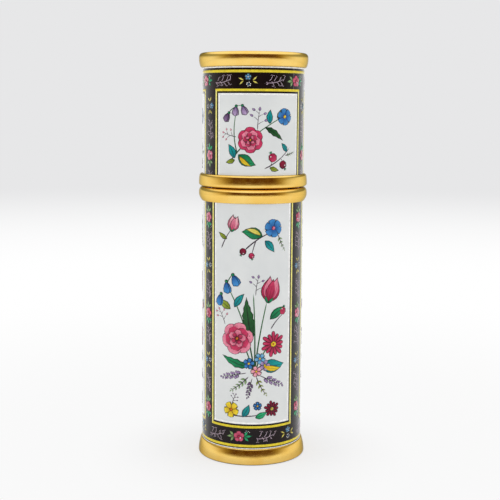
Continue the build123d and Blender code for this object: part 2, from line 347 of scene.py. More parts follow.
@dataclass(frozen=True)
class Finish:
    """A finish: its name and its shine. Each kind of finish adds its own colours."""

    name: str
    gloss: Gloss

    def build(self, effects: SharedEffects) -> bpy.types.Material:
        """Makes the material.

        Args:
            effects: The shared shader groups.

        Returns:
            The new material.
        """
        material, graph = new_material(self.name)
        shader = graph.node("BsdfPrincipled")
        graph.feed(graph.node("OutputMaterial"), {"Surface": shader.outputs[0]})
        graph.feed(shader, {
            "Metallic": self.gloss.metallic,
            "Roughness": self.gloss.roughness,
            "Coat Weight": self.gloss.coat,
            "Coat Roughness": self.gloss.coat_roughness,
            "IOR": 1.5,
            "Subsurface Weight": self.gloss.subsurface,
            "Subsurface Scale": MM,
            "Specular Tint": self.gloss.slant_tint,
        })
        graph.feed(shader, self.surface(graph, graph.place(), effects))
        return material

    def surface(self, graph: Graph, place: Socket, effects: SharedEffects) -> dict[str, object]:
        """Draws what differs from place to place.

        Args:
            graph: The material's graph.
            place: Object coordinates.
            effects: The shared shader groups.

        Returns:
            What the shader's inputs get.
        """
        raise NotImplementedError

    def roughness(self, graph: Graph, mask: Socket, share: float) -> Socket:
        """Roughens the finish by share where a mask is 1."""
        return graph.math("MULTIPLY_ADD", mask, share, self.gloss.roughness)


def glaze(graph: Graph) -> dict[str, object]:
    """Makes a clear glaze that shines most where it is seen at a slant.

    Args:
        graph: The material's graph.

    Returns:
        What the shader's inputs get.
    """
    slant = graph.node("LayerWeight").outputs["Facing"]
    return {"Coat Weight": graph.span(slant, 0.25, 0.85, 0.16, 1.0), "Specular IOR Level": 0.12}


@dataclass(frozen=True)
class TurnedMetal(Finish):
    """Plated, drawn or turned metal: fine lines, low waves and a tone that drifts."""

    colour: Colour
    second: Colour
    lines: float = 9000.0
    scuff: float = 0.1
    painted_shade_height: float = 0.0  # height of the painted shade at the foot's lower edge, where it meets the floor, in metres

    WAVES = 260.0
    WAVE_HEIGHT = 0.012 * MM
    LINE_HEIGHT = 0.004 * MM
    # Colour of the painted shade at the foot's lower edge.
    PAINTED_SHADE = tint(112, 84, 22)

    def surface(self, graph: Graph, place: Socket, effects: SharedEffects) -> dict[str, object]:
        """Draws the metal's tone, scuffs and waves, as Finish.surface says."""
        lines = graph.call(effects.turned_lines, Place=place, Density=self.lines)
        waves = graph.call(effects.polish_waves, Place=place, Scale=self.WAVES)
        dust = graph.call(effects.fine_dust, Place=place, Scale=self.WAVES * 6)
        tone = graph.span(graph.noise(place, self.WAVES * 0.7, 3.0, 0.6), 0.35, 0.7)
        colour = graph.mix(tone, self.colour, self.second)
        # Painted shade: the gilt darkens towards the bottom of the foot, in place of the shade where it meets
        # the floor.
        if self.painted_shade_height:
            painted_shade = graph.span(graph.split(place)[2], 0.45 * self.painted_shade_height, self.painted_shade_height, 0.9, 0.0)
            colour = graph.mix(painted_shade, colour, self.PAINTED_SHADE)
        rough = self.roughness(graph, lines["Mask"], self.scuff)
        rough = graph.math("MULTIPLY_ADD", dust["Smears"], self.scuff * 0.6, rough)
        fine = graph.bump(lines["Height"], 0.25, self.LINE_HEIGHT)
        normal = graph.bump(waves["Height"], 1.0, self.WAVE_HEIGHT, fine)
        return {"Base Color": colour, "Roughness": rough, "Normal": normal}


@dataclass(frozen=True)
class EnamelGround(Finish):
    """Fired enamel of a tube: pale panels in a dark border, under a clear glaze."""

    radius: float
    panels: tuple[Point, ...]  # each panel's middle, in radians, and half width, in metres
    low: float
    high: float

    PALE = tint(234, 236, 235), tint(222, 225, 226)
    DARK = tint(14, 9, 11), tint(36, 22, 24)
    SPECK = tint(150, 150, 150)
    EDGE = 0.01 * MM
    RIPPLE = 0.006 * MM

    def surface(self, graph: Graph, place: Socket, effects: SharedEffects) -> dict[str, object]:
        """Draws the panels, the border and the glaze's faint ripple, as Finish.surface says."""
        x, y, z = graph.split(place)
        angle = graph.bearing(x, y)
        inside: object = -1.0
        for middle, half_width in self.panels:
            centred = graph.math("WRAP", graph.math("SUBTRACT", angle, middle), math.pi, -math.pi)
            within = graph.math("MULTIPLY_ADD", graph.math("ABSOLUTE", centred), -self.radius, half_width)
            inside = graph.math("MAXIMUM", inside, within)
        above = graph.math("SUBTRACT", z, self.low)
        below = graph.math("SUBTRACT", self.high, z)
        inside = graph.math("MINIMUM", inside, graph.math("MINIMUM", above, below))
        cloud = graph.span(graph.noise(place, 180.0, 3.0, 0.5), 0.3, 0.7)
        dust = graph.call(effects.fine_dust, Place=place, Scale=900.0)
        pale = graph.mix(graph.times(cloud, 0.5), *self.PALE)
        pale = graph.mix(graph.times(dust["Specks"], 0.12), pale, self.SPECK)
        dark = graph.mix(graph.times(cloud, 0.6), *self.DARK)
        waves = graph.call(effects.polish_waves, Place=place, Scale=420.0)
        return glaze(graph) | {
            "Base Color": graph.mix(graph.span(inside, -self.EDGE, self.EDGE), dark, pale),
            "Roughness": self.roughness(graph, dust["Smears"], 0.06),
            "Normal": graph.bump(waves["Height"], 0.5, self.RIPPLE),
        }


@dataclass(frozen=True)
class PaintedEnamel(Finish):
    """Overglaze colours laid on by brush, each shape with its outline and veins."""

    BRUSH_HEIGHT = 0.01 * MM

    def surface(self, graph: Graph, place: Socket, effects: SharedEffects) -> dict[str, object]:
        """Draws each shape's own colours and brush marks, as Finish.surface says."""
        brush = graph.call(
            effects.brushwork,
            Paint=graph.attribute("paint", "Color"),
            Edge=graph.attribute("edge"),
            Stroke=graph.node("UVMap", uv_map="stroke").outputs[0],
            Veins=graph.attribute("veins"),
        )
        mottle = graph.span(graph.noise(place, 1700.0, 3.0, 0.6), 0.3, 0.7, 0.86, 1.12)
        return glaze(graph) | {
            "Base Color": graph.mix(1.0, brush["Color"], mottle, "MULTIPLY"),
            "Roughness": self.roughness(graph, mottle, 0.1),
            "Normal": graph.bump(brush["Height"], 0.4, self.BRUSH_HEIGHT),
        }


@dataclass(frozen=True)
class Moulded(Finish):
    """Moulded plastic, rubber or wax: a fine grain, faint flow marks and specks."""

    colour: Colour
    second: Colour
    grain: float = 4000.0
    depth: float = 0.01 * MM

    SPECK = tint(200, 196, 190)

    def surface(self, graph: Graph, place: Socket, effects: SharedEffects) -> dict[str, object]:
        """Draws the moulding's tone, grain and flow marks, as Finish.surface says."""
        flow = graph.span(graph.noise(graph.stretch(place, (1.0, 1.0, 0.25)), 320.0, 3.0, 0.55), 0.35, 0.7)
        dust = graph.call(effects.fine_dust, Place=place, Scale=1400.0)
        tone = graph.mix(flow, self.colour, self.second)
        return {
            "Base Color": graph.mix(graph.times(dust["Specks"], 0.08), tone, self.SPECK),
            "Roughness": self.roughness(graph, dust["Smears"], 0.1),
            "Normal": graph.bump(graph.noise(place, self.grain, 3.0, 0.6), 0.3, self.depth),
        }


# ------------------------------------------------------------------ painted shapes


@dataclass(frozen=True)
class Ink:
    """The colours of one painted shape, at its root and at its tip."""

    root: Colour
    tip: Colour


class Inks(Enum):
    """The palette of the painting."""

    CRIMSON = Ink(tint(150, 20, 60), tint(214, 62, 104))
    PINK = Ink(tint(200, 60, 104), tint(242, 150, 172))
    ROSE = Ink(tint(170, 40, 78), tint(226, 104, 134))
    BLUSH = Ink(tint(226, 110, 140), tint(250, 196, 204))
    RASPBERRY = Ink(tint(92, 10, 34), tint(150, 28, 60))
    BLUE = Ink(tint(20, 70, 150), tint(70, 150, 214))
    SKY = Ink(tint(40, 120, 190), tint(140, 200, 226))
    TURQUOISE = Ink(tint(0, 116, 128), tint(30, 176, 172))
    LILAC = Ink(tint(120, 90, 150), tint(196, 170, 208))
    PLUM = Ink(tint(84, 54, 100), tint(142, 112, 152))
    EMERALD = Ink(tint(8, 100, 62), tint(36, 164, 104))
    JADE = Ink(tint(16, 140, 88), tint(60, 204, 138))
    FOREST = Ink(tint(14, 62, 34), tint(44, 110, 52))
    LIME = Ink(tint(110, 130, 30), tint(180, 196, 70))
    SAGE = Ink(tint(96, 140, 80), tint(172, 206, 140))
    YELLOW = Ink(tint(226, 172, 20), tint(248, 226, 60))
    LEMON = Ink(tint(222, 204, 70), tint(246, 236, 128))
    AMBER = Ink(tint(170, 70, 20), tint(232, 140, 40))
    STEM = Ink(tint(60, 44, 60), tint(74, 62, 74))
    TWIG = Ink(tint(168, 142, 160), tint(214, 198, 210))
    WHITE = Ink(tint(232, 234, 236), tint(250, 250, 248))
    LINE_YELLOW = Ink(tint(236, 214, 56), tint(236, 214, 56))
    LINE_PALE = Ink(tint(250, 240, 132), tint(250, 240, 132))
    LINE_WHITE = Ink(tint(255, 255, 253), tint(255, 255, 253))


class Outline(Enum):
    """How wide a painted shape is along its length, as a share of its width."""

    LEAF = "leaf"
    PETAL = "petal"
    ROUND = "round"
    STROKE = "stroke"
    BAR = "bar"

    def width(self, along: float) -> float:
        """Half the width at a place.

        Args:
            along: The place, from 0 at the root to 1 at the tip.

        Returns:
            The half width, as a share of the shape's own half width.
        """
        if self is Outline.LEAF:
            return math.sin(math.pi * along ** 0.8) ** 1.15
        if self is Outline.PETAL:
            return 1.24 * along ** 0.65 * math.sqrt(max(0.0, 1 - along ** 5)) * (1 - 0.1 * along)
        if self is Outline.ROUND:
            return 2 * math.sqrt(max(0.0, along * (1 - along)))
        if self is Outline.STROKE:
            return (1 - 0.4 * along) * min(1.0, 12 * along, 14 * (1 - along))
        return 1.0


@dataclass(frozen=True)
class Place:
    """Where a motif stands on a tube's surface: along its girth and height, in millimetres."""

    across: float
    up: float
    turn: float = 0.0
    size: float = 1.0
    flip: bool = False

    def point(self, x: float, y: float) -> Point:
        """Takes a point of the motif to the surface.

        Args:
            x: How far right it is in the motif.
            y: How far up it is in the motif.

        Returns:
            The point, along the girth and height.
        """
        side = -x if self.flip else x
        angle = math.radians(self.turn)
        right = self.size * (side * math.cos(angle) - y * math.sin(angle))
        rise = self.size * (side * math.sin(angle) + y * math.cos(angle))
        return self.across + right, self.up + rise

    def heading(self, angle: float) -> float:
        """Takes a direction of the motif, in degrees, to the surface."""
        return (180 - angle if self.flip else angle) + self.turn

    def at(self, x: float, y: float, turn: float = 0.0) -> "Place":
        """A place inside this one, as for a flower on a spray."""
        across, up = self.point(x, y)
        return replace(self, across=across, up=up, turn=self.turn + (-turn if self.flip else turn))


def add_object(name: str, mesh: bmesh.types.BMesh, material: bpy.types.Material) -> bpy.types.Object:
    """Makes a finished mesh an object of the scene.

    Args:
        name: The object's name.
        mesh: The mesh, which is freed.
        material: Its material.

    Returns:
        The new object.
    """
    data = bpy.data.meshes.new(name)
    mesh.to_mesh(data)
    mesh.free()
    data.materials.append(material)
    made = bpy.data.objects.new(name, data)
    bpy.context.scene.collection.objects.link(made)
    LOG.info("made %s: %d faces", name, len(data.polygons))
    return made


class Painter:
    """Lays painted shapes on a tube, as low mounds of enamel that are let into its surface."""

    SINK = 0.02  # how deep the edge of a mound is let in, in millimetres
    RELIEF = 0.035  # how high a mound stands
    RIM = 0.04  # how wide its edge slopes
    PATCH = 0.5  # length of its faces
    TILT = 0.006  # rise from one layer to the next
    OUTLINE = 0.2  # width of the drawn outline
    NO_OUTLINE = 9.0  # an edge value that is past every outline

    def __init__(self, radius: float) -> None:
        """Starts an empty painting on a tube of this radius, in millimetres."""
        self.radius = radius
        self.mesh = bmesh.new()
        self.paint = self.mesh.verts.layers.float_color.new("paint")
        self.edge = self.mesh.verts.layers.float.new("edge")
        self.veins = self.mesh.verts.layers.float.new("veins")
        self.stroke = self.mesh.loops.layers.uv.new("stroke")

    def shape(
        self,
        at: Place,
        heading: float,
        length: float,
        width: float,
        ink: Inks,
        outline: Outline = Outline.LEAF,
        bend: float = 0.0,
        layer: int = 0,
        veins: float = 0.0,
        teeth: float = 0.0,
        root: Point | Vector = (0.0, 0.0),
    ) -> None:
        """Lays one shape.

        Args:
            at: The motif that the shape belongs to.
            heading: The direction in which it starts, in degrees from the motif's right.
            length: Its length, in the motif's millimetres.
            width: Its greatest width.
            ink: Its colours.
            outline: Its outline.
            bend: How far it turns along its length, in degrees.
            layer: How many layers of paint lie below it.
            veins: Strength of leaf veins, or of petal hatching where it is negative.
            teeth: How deep its edge is cut, as a share of its width.
            root: Where it starts, in the motif.
        """
        bar = outline is Outline.BAR
        start = Vector(at.point(*root))
        first = math.radians(at.heading(heading))
        turn = math.radians(-bend if at.flip else bend)
        length, half = length * at.size, width * at.size / 2
        least_rows = 1 if bar else (12 if teeth else 4)
        rows = max(least_rows, math.ceil(length / self.PATCH))
        columns = 2 + 2 * max(1, math.ceil(half / self.PATCH))
        drawn_line = min(self.OUTLINE, 0.4 * half)
        grid = bmesh.ops.create_grid(self.mesh, x_segments=rows, y_segments=columns, size=1.0)["verts"]
        self._map_strokes(grid)
        for vert in grid:
            row = round((vert.co.x + 1) / 2 * rows)
            column = round((vert.co.y + 1) / 2 * columns)
            along = row / rows if bar else (1 - math.cos(math.pi * row / rows)) / 2
            breadth = half * outline.width(along) * (1 - teeth * (row % 2))
            middle = 2 * (column - 1) / (columns - 2) - 1
            on_rim = column in (0, columns)
            side = breadth * math.copysign(1, vert.co.y) if on_rim else max(0.0, breadth - self.RIM) * middle
            to_ends = math.inf if bar else min(along, 1 - along) * length
            from_edge = min(breadth - abs(side), to_ends)
            half_turn = turn * along / 2
            spine = start + along * length * chord_share(half_turn) * direction(first + half_turn)
            spot = spine + side * direction(first + turn * along + math.pi / 2)
            mound = self.RELIEF * min(1.0, 0.4 + from_edge / 0.3) + (layer + middle) * self.TILT
            vert.co = (spot.x, spot.y, -self.SINK if on_rim or to_ends == 0.0 else mound)
            outlined = outline not in (Outline.BAR, Outline.STROKE)
            vert[self.edge] = from_edge / drawn_line if outlined else self.NO_OUTLINE
            vert[self.veins] = veins
            vert[self.paint] = blend_colours(ink.value.root, ink.value.tip, along)

    def _map_strokes(self, grid: list[bmesh.types.BMVert]) -> None:
        """Maps a new grid from its root to its tip and from side to side."""
        for face in {face for vert in grid for face in vert.link_faces}:
            face.smooth = True
            for loop in face.loops:
                loop[self.stroke].uv = (loop.vert.co.x + 1) / 2, (loop.vert.co.y + 1) / 2

    def line(self, at: Place, start: Point, end: Point, width: float, ink: Inks, bend: float = 0.0) -> None:
        """Lays a stroke between two points of the motif, bowed by bend degrees.

        Args:
            at: The motif that it belongs to.
            start: Where it starts, in the motif.
            end: Where it ends.
            width: Its greatest width.
            ink: Its colours.
            bend: How far it turns along its length, in degrees.
        """
        run = Vector(end) - Vector(start)
        length = run.length / chord_share(math.radians(bend) / 2)
        heading = math.degrees(math.atan2(run.y, run.x)) - bend / 2
        self.shape(at, heading, length, width, ink, Outline.STROKE, bend, root=start)

    def bar(self, start: Point, end: Point, width: float, ink: Inks) -> None:
        """Lays a line of one width between two points of the surface.

        Args:
            start: Where it starts.
            end: Where it ends.
            width: Its width.
            ink: Its colours.
        """
        run = Vector(end) - Vector(start)
        heading = math.degrees(math.atan2(run.y, run.x))
        self.shape(Place(0, 0), heading, run.length, width, ink, Outline.BAR, root=start)

    def dot(self, at: Place, radius: float, ink: Inks, layer: int = 0, x: float = 0, y: float = 0) -> None:
        """Lays a round dot."""
        self.shape(at, 0, 2 * radius, 2 * radius, ink, Outline.ROUND, 0, layer, root=(x - radius, y))

    def finish(self, name: str, body: str, material: bpy.types.Material) -> None:
        """Wraps the painting round the tube and makes it a piece.

        Args:
            name: The piece's name.
            body: The body that it rides on.
            material: Its material.
        """
        for vert in self.mesh.verts:
            angle = vert.co.x / self.radius
            reach = (self.radius + vert.co.z) * MM
            vert.co = (reach * math.sin(angle), -reach * math.cos(angle), vert.co.y * MM)
        bmesh.ops.remove_doubles(self.mesh, verts=self.mesh.verts, dist=TOUCHING)
        piece = add_object(name, self.mesh, material)
        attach(piece, body)


class Florist(Painter):
    """Paints flowers, leaves and twigs. Each grows from its place, in the motif's millimetres."""

    def arrange(self, base: Place, motifs: tuple[tuple, ...]) -> None:
        """Paints the motifs of a spray.

        Args:
            base: Where the spray stands.
            motifs: For each, its method, its x, y and turn in the spray, and its own sizes and inks.
        """
        for paint, x, y, turn, *details in motifs:
            paint(base.at(x, y, turn), *details)

    def rose(self, at: Place, radius: float, outer: Inks = Inks.PINK, inner: Inks = Inks.CRIMSON) -> None:
        """A full rose: four rings of petals round an amber heart.

        Args:
            at: Where it stands.
            radius: Its radius.
            outer: Colours of its outer petals.
            inner: Colours of the rings between.
        """
        rings = (
            (6, 0.97, 1.04, outer, 0),
            (5, 0.74, 0.84, inner, 30),
            (5, 0.52, 0.56, outer, 66),
            (4, 0.34, 0.36, inner, 20),
        )
        for level, (count, reach, width, ink, start) in enumerate(rings):
            for angle in around(count, start):
                root = 0.08 * radius * direction(math.radians(angle))
                layer = 2 + 3 * level
                sizes = angle, reach * radius, width * radius
                self.shape(at, *sizes, ink, Outline.ROUND, 0, layer, -0.8, root=root)
        self.dot(at, 0.13 * radius, Inks.AMBER, 15)

    def daisy(self, at: Place, radius: float, ink: Inks, eye: Inks = Inks.YELLOW, count: int = 13) -> None:
        """A many-petalled daisy or aster.

        Args:
            at: Where it stands.
            radius: Its radius.
            ink: Colours of its petals.
            eye: Colours of its eye.
            count: Number of petals.
        """
        width = 1.7 * math.pi * radius / count
        for number, angle in enumerate(around(count)):
            reach = radius * (1 if number % 2 else 0.86)
            self.shape(at, angle, reach, width, ink, Outline.PETAL, 6, 2 + number % 2, -1.0)
        self.dot(at, 0.25 * radius, eye, 6)
        self.dot(at, 0.1 * radius, Inks.AMBER, 9)

    def blossom(self, at: Place, radius: float, ink: Inks, eye: Inks = Inks.YELLOW, petals: int = 5) -> None:
        """A small open blossom with round petals.

        Args:
            at: Where it stands.
            radius: Its radius.
            ink: Colours of its petals.
            eye: Colours of its eye.
            petals: Number of petals.
        """
        for number, angle in enumerate(around(petals, 90)):
            self.shape(at, angle, radius, 1.12 * radius, ink, Outline.PETAL, 0, 2 + number % 2, -0.5)
        self.dot(at, 0.26 * radius, eye, 6)

    def bell(self, at: Place, length: float, ink: Inks) -> None:
        """A hanging bell with three lobes at its mouth.

        Args:
            at: Where it hangs from.
            length: Its length.
            ink: Its colours.
        """
        for lean in (-24, 24):
            self.shape(at, lean - 90, length, 0.5 * length, ink, Outline.PETAL, -lean, 2, -0.6)
        self.shape(at, -90, 1.05 * length, 0.62 * length, ink, Outline.PETAL, 0, 4, -0.6)
        cap = 0.3 * length, 0.34 * length
        self.shape(at, -90, *cap, Inks.EMERALD, Outline.ROUND, 0, 7, root=(0, 0.12 * length))

    def tulip(self, at: Place, length: float, outer: Inks, inner: Inks) -> None:
        """A cup of pointed petals on a green calyx.

        Args:
            at: Where its stem ends.
            length: Its length.
            outer: Colours of its front petals.
            inner: Colours of the other petals.
        """
        petals = ((26, 0.95, 0.5, inner, -1.2, 2), (13, 1.0, 0.46, outer, -0.6, 4))
        for lean, reach, width, ink, bend, layer in petals:
            for side in (-lean, lean):
                sizes = reach * length, width * length
                self.shape(at, 90 + side, *sizes, ink, Outline.LEAF, bend * side, layer, -1.0)
        self.shape(at, 90, 0.9 * length, 0.42 * length, inner, Outline.LEAF, 0, 6, -1.0)
        for side in (-34, 34):
            sepal = 0.34 * length, 0.14 * length
            self.shape(at, 90 + side, *sepal, Inks.EMERALD, layer=8, root=(0, -0.06 * length))

    def berry(self, at: Place, radius: float, ink: Inks = Inks.CRIMSON) -> None:
        """A round berry with a shine and a small calyx.

        Args:
            at: Its middle.
            radius: Its radius.
            ink: Its colours.
        """
        self.shape(at, -90, 2 * radius, 2 * radius, ink, Outline.ROUND, 0, 3, root=(0, radius))
        self.dot(at, 0.2 * radius, Inks.WHITE, 6, -0.35 * radius, 0.35 * radius)
        for lean in (-40, 0, 40):
            sepal = 0.6 * radius, 0.28 * radius
            self.shape(at, 90 + lean, *sepal, Inks.EMERALD, layer=5, root=(0, 0.9 * radius))

    def leaf(self, at: Place, length: float, ink: Inks, bend: float = 20, width: float = 0.42) -> None:
        """A veined leaf that grows to the motif's right."""
        self.shape(at, -bend / 2, length, width * length, ink, Outline.LEAF, bend, 1, 0.9)

    def two_tone_leaf(self, at: Place, length: float, ink: Inks, second: Inks) -> None:
        """A broad leaf with its lower half in a second colour.

        Args:
            at: Where it stands.
            length: Its length.
            ink: Colours of its upper half.
            second: Colours of its lower half.
        """
        self.shape(at, -14, length, 0.56 * length, ink, Outline.LEAF, 28, 1, 0.9)
        root = 0.08 * length, -0.02 * length
        self.shape(at, -32, 0.82 * length, 0.26 * length, second, Outline.LEAF, 46, 4, 0.4, root=root)

    def toothed_leaf(self, at: Place, length: float, ink: Inks, bend: float = 15) -> None:
        """A long leaf with a saw edge."""
        self.shape(at, -bend / 2, length, 0.3 * length, ink, Outline.LEAF, bend, 1, 1.0, 0.22)

    def frond(self, at: Place, length: float, ink: Inks, pairs: int = 5, bend: float = 20) -> None:
        """A stem with pairs of small leaflets that grows to the motif's right.

        Args:
            at: Where it stands.
            length: Its length.
            ink: Colours of its leaflets.
            pairs: Number of pairs.
            bend: How far the stem turns, in degrees.
        """
        self.line(at, (0, 0), (length, 0), 0.26, Inks.STEM, bend)
        bow = math.radians(bend) / 2
        for pair in range(pairs):
            along = (pair + 1) / (pairs + 0.4)
            root = along * length, -length * bow * along * (1 - along)
            size = length * 0.26 * (1.1 - 0.6 * along)
            for side in (-48, 48):
                self.shape(at, side, size, 0.44 * size, ink, Outline.LEAF, -side / 3, 1, 0.5, root=root)
        self.shape(at, 0, length * 0.14, length * 0.06, ink, layer=1, root=(length, 0))

    def spike(self, at: Place, length: float, ink: Inks, rows: int = 7) -> None:
        """A flower spike of loose round buds that grows to the motif's right.

        Args:
            at: Where it stands.
            length: Its length.
            ink: Colours of its buds.
            rows: Number of rows of buds.
        """
        self.line(at, (0, 0), (0.95 * length, 0), 0.22, Inks.STEM)
        for row in range(rows):
            share = row / rows
            size = length * (0.16 - 0.06 * share)
            for side in (-1, 1):
                root = (0.26 + 0.7 * share + 0.04 * side) * length, side * 0.1
                lean = side * (62 if row % 2 else 40)
                self.shape(at, lean, size, 0.72 * size, ink, Outline.ROUND, 0, 2 + row % 2, -0.6, root=root)
        self.shape(at, 0, 0.11 * length, 0.08 * length, ink, Outline.ROUND, 0, 2, root=(0.96 * length, 0))

    def bud_twig(self, at: Place, length: float, ink: Inks, bend: float = 20) -> None:
        """A thin dark twig with small side shoots, each with a bud.

        Args:
            at: Where it stands.
            length: Its length.
            ink: Colours of its buds.
            bend: How far the twig turns, in degrees.
        """
        self.line(at, (0, 0), (length, 0), 0.2, Inks.STEM, bend)
        bow = -math.radians(bend) / 2
        for number, share in enumerate((0.3, 0.5, 0.68, 0.84)):
            side = 1 if number % 2 else -1
            start = (share * length, length * bow * share * (1 - share))
            reach = length * (0.36 - 0.2 * share)
            tip = (start[0] + 0.7 * reach, start[1] + side * reach)
            self.line(at, start, tip, 0.16, Inks.STEM, side * 24)
            self.shape(at, side * 64, 0.22 * length, 0.15 * length, ink, layer=2, veins=-0.6, root=tip)
        end = 0.97 * length, 0
        self.shape(at, 0, 0.24 * length, 0.16 * length, ink, layer=2, veins=-0.6, root=end)

    def twigs(self, at: Place, length: float, draw: random.Random) -> None:
        """A pale branching scroll, as it fills a border between flowers.

        Args:
            at: Where it stands.
            length: Its length on the tube, whatever the motif's size.
            draw: The seeded source of small differences.
        """
        length /= at.size
        self.line(at, (-0.5 * length, -0.3), (0.5 * length, 0.25), 0.13, Inks.TWIG, 34)
        for number in range(8):
            along = -0.46 + 0.125 * number
            side = 1 if number % 2 else -1
            start = (along * length, 0.08 * math.sin(number) - 0.14)
            tip = (start[0] + draw.uniform(0.1, 0.55), side * draw.uniform(0.45, 0.85))
            self.line(at, start, tip, 0.12, Inks.TWIG, side * draw.uniform(20, 70))
            for reach in (-1, 1):
                curl = (tip[0] + reach * draw.uniform(0.1, 0.4), tip[1] - side * draw.uniform(-0.1, 0.3))
                self.line(at, tip, curl, 0.1, Inks.TWIG, -reach * side * 60)

    def border_rose(self, at: Place, draw: random.Random) -> None:
        """A rose of the border, between a light leaf and a jade one, with white dots.

        Args:
            at: Where it stands.
            draw: The seeded source of small differences.
        """
        ink = draw.choice((Inks.PINK, Inks.ROSE))
        for number, angle in enumerate(around(5, 90)):
            self.shape(at, angle, 0.86, 0.98, ink, Outline.ROUND, 0, 2 + number % 2, -0.9)
        self.shape(at, 0, 0.66, 0.56, Inks.CRIMSON, Outline.ROUND, 0, 6, -0.6, root=(-0.32, -0.05))
        self.shape(at, 80, 0.5, 0.22, Inks.WHITE, layer=9, root=(0.16, -0.45))
        for side, heading, leaf_ink in ((-0.75, 180, Inks.SAGE), (0.75, 0, Inks.JADE)):
            for lean, length in ((-52, 1.05), (0, 1.25), (52, 1.0)):
                turned = lean + heading
                self.shape(at, turned, length, 0.5, leaf_ink, Outline.LEAF, 14, 1, 0.6, root=(side, 0))
        for number in range(5):
            y = 0.62 + 0.17 * (number % 2) + draw.uniform(-0.05, 0.05)
            self.dot(at, 0.075, Inks.WHITE, 0, 0.9 + 0.16 * number, y)

    def border_blossoms(self, at: Place, draw: random.Random) -> None:
        """A blue and a white blossom of the border, between yellow leaves.

        Args:
            at: Where it stands.
            draw: The seeded source of small differences.
        """
        self.blossom(at.at(0.0, 0.5, draw.uniform(0, 70)), 0.5, Inks.SKY, Inks.WHITE)
        for angle in around(6):
            spot = 0.26 * direction(math.radians(angle + draw.uniform(0, 20)))
            self.dot(at, 0.11, Inks.WHITE, 0, 0.08 + spot.x, spot.y - 0.5)
        self.dot(at, 0.1, Inks.BLUE, 0, 0.08, -0.5)
        for side, heading in ((-0.6, 180), (0.6, 0)):
            for lean in (-35, 35):
                turned = lean + heading
                self.shape(at, turned, 0.95, 0.32, Inks.LEMON, Outline.LEAF, 20, 1, 0.5, root=(side, 0))


# ------------------------------------------------------------------ the decoration of one tube


def tube_radius(node: str) -> float:
    """Outer radius of a tube in the frame, in millimetres."""
    low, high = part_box(node)
    return (high.x - low.x) / 2 / MM


def edge_height(node: str, top: bool) -> float:
    """Height of a piece's top or underside, in millimetres."""
    low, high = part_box(node)
    return (high.z if top else low.z) / MM


def dress_nodes(material: bpy.types.Material, *nodes: str) -> None:
    """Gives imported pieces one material.

    Args:
        material: The material.
        nodes: The pieces' names.
    """
    for node in nodes:
        materials = frame["nodes"][node].data.materials
        materials.clear()
        materials.append(material)
        LOG.info("dressed %s with %s", node, material.name)


@dataclass(frozen=True)
class LineSizes:
    """Widths of the painted lines, in millimetres."""

    ring: float = 0.54
    frame: float = 0.5
    upright: float = 0.42
    black: float = 0.35
    white: float = 0.4
    hairline: float = 0.22
    seam: float = 0.09
    overrun: float = 0.4  # how far uprights run on behind a collar


@dataclass(frozen=True)
class BorderSizes:
    """Sizes and spacing of the border's motifs, in millimetres."""

    level_count: int = 12  # motifs round the level border
    level_size: float = 1.4
    level_scroll: float = 3.9
    upright_pitch: float = 4.85
    upright_size: float = 1.32
    upright_scroll: float = 3.7
    upright_gap: float = 0.6  # between the frame line and the first motif


@dataclass(frozen=True)
class Panel:
    """A white panel: where its middle is and how far round it reaches, in degrees."""

    middle: float
    arc: float


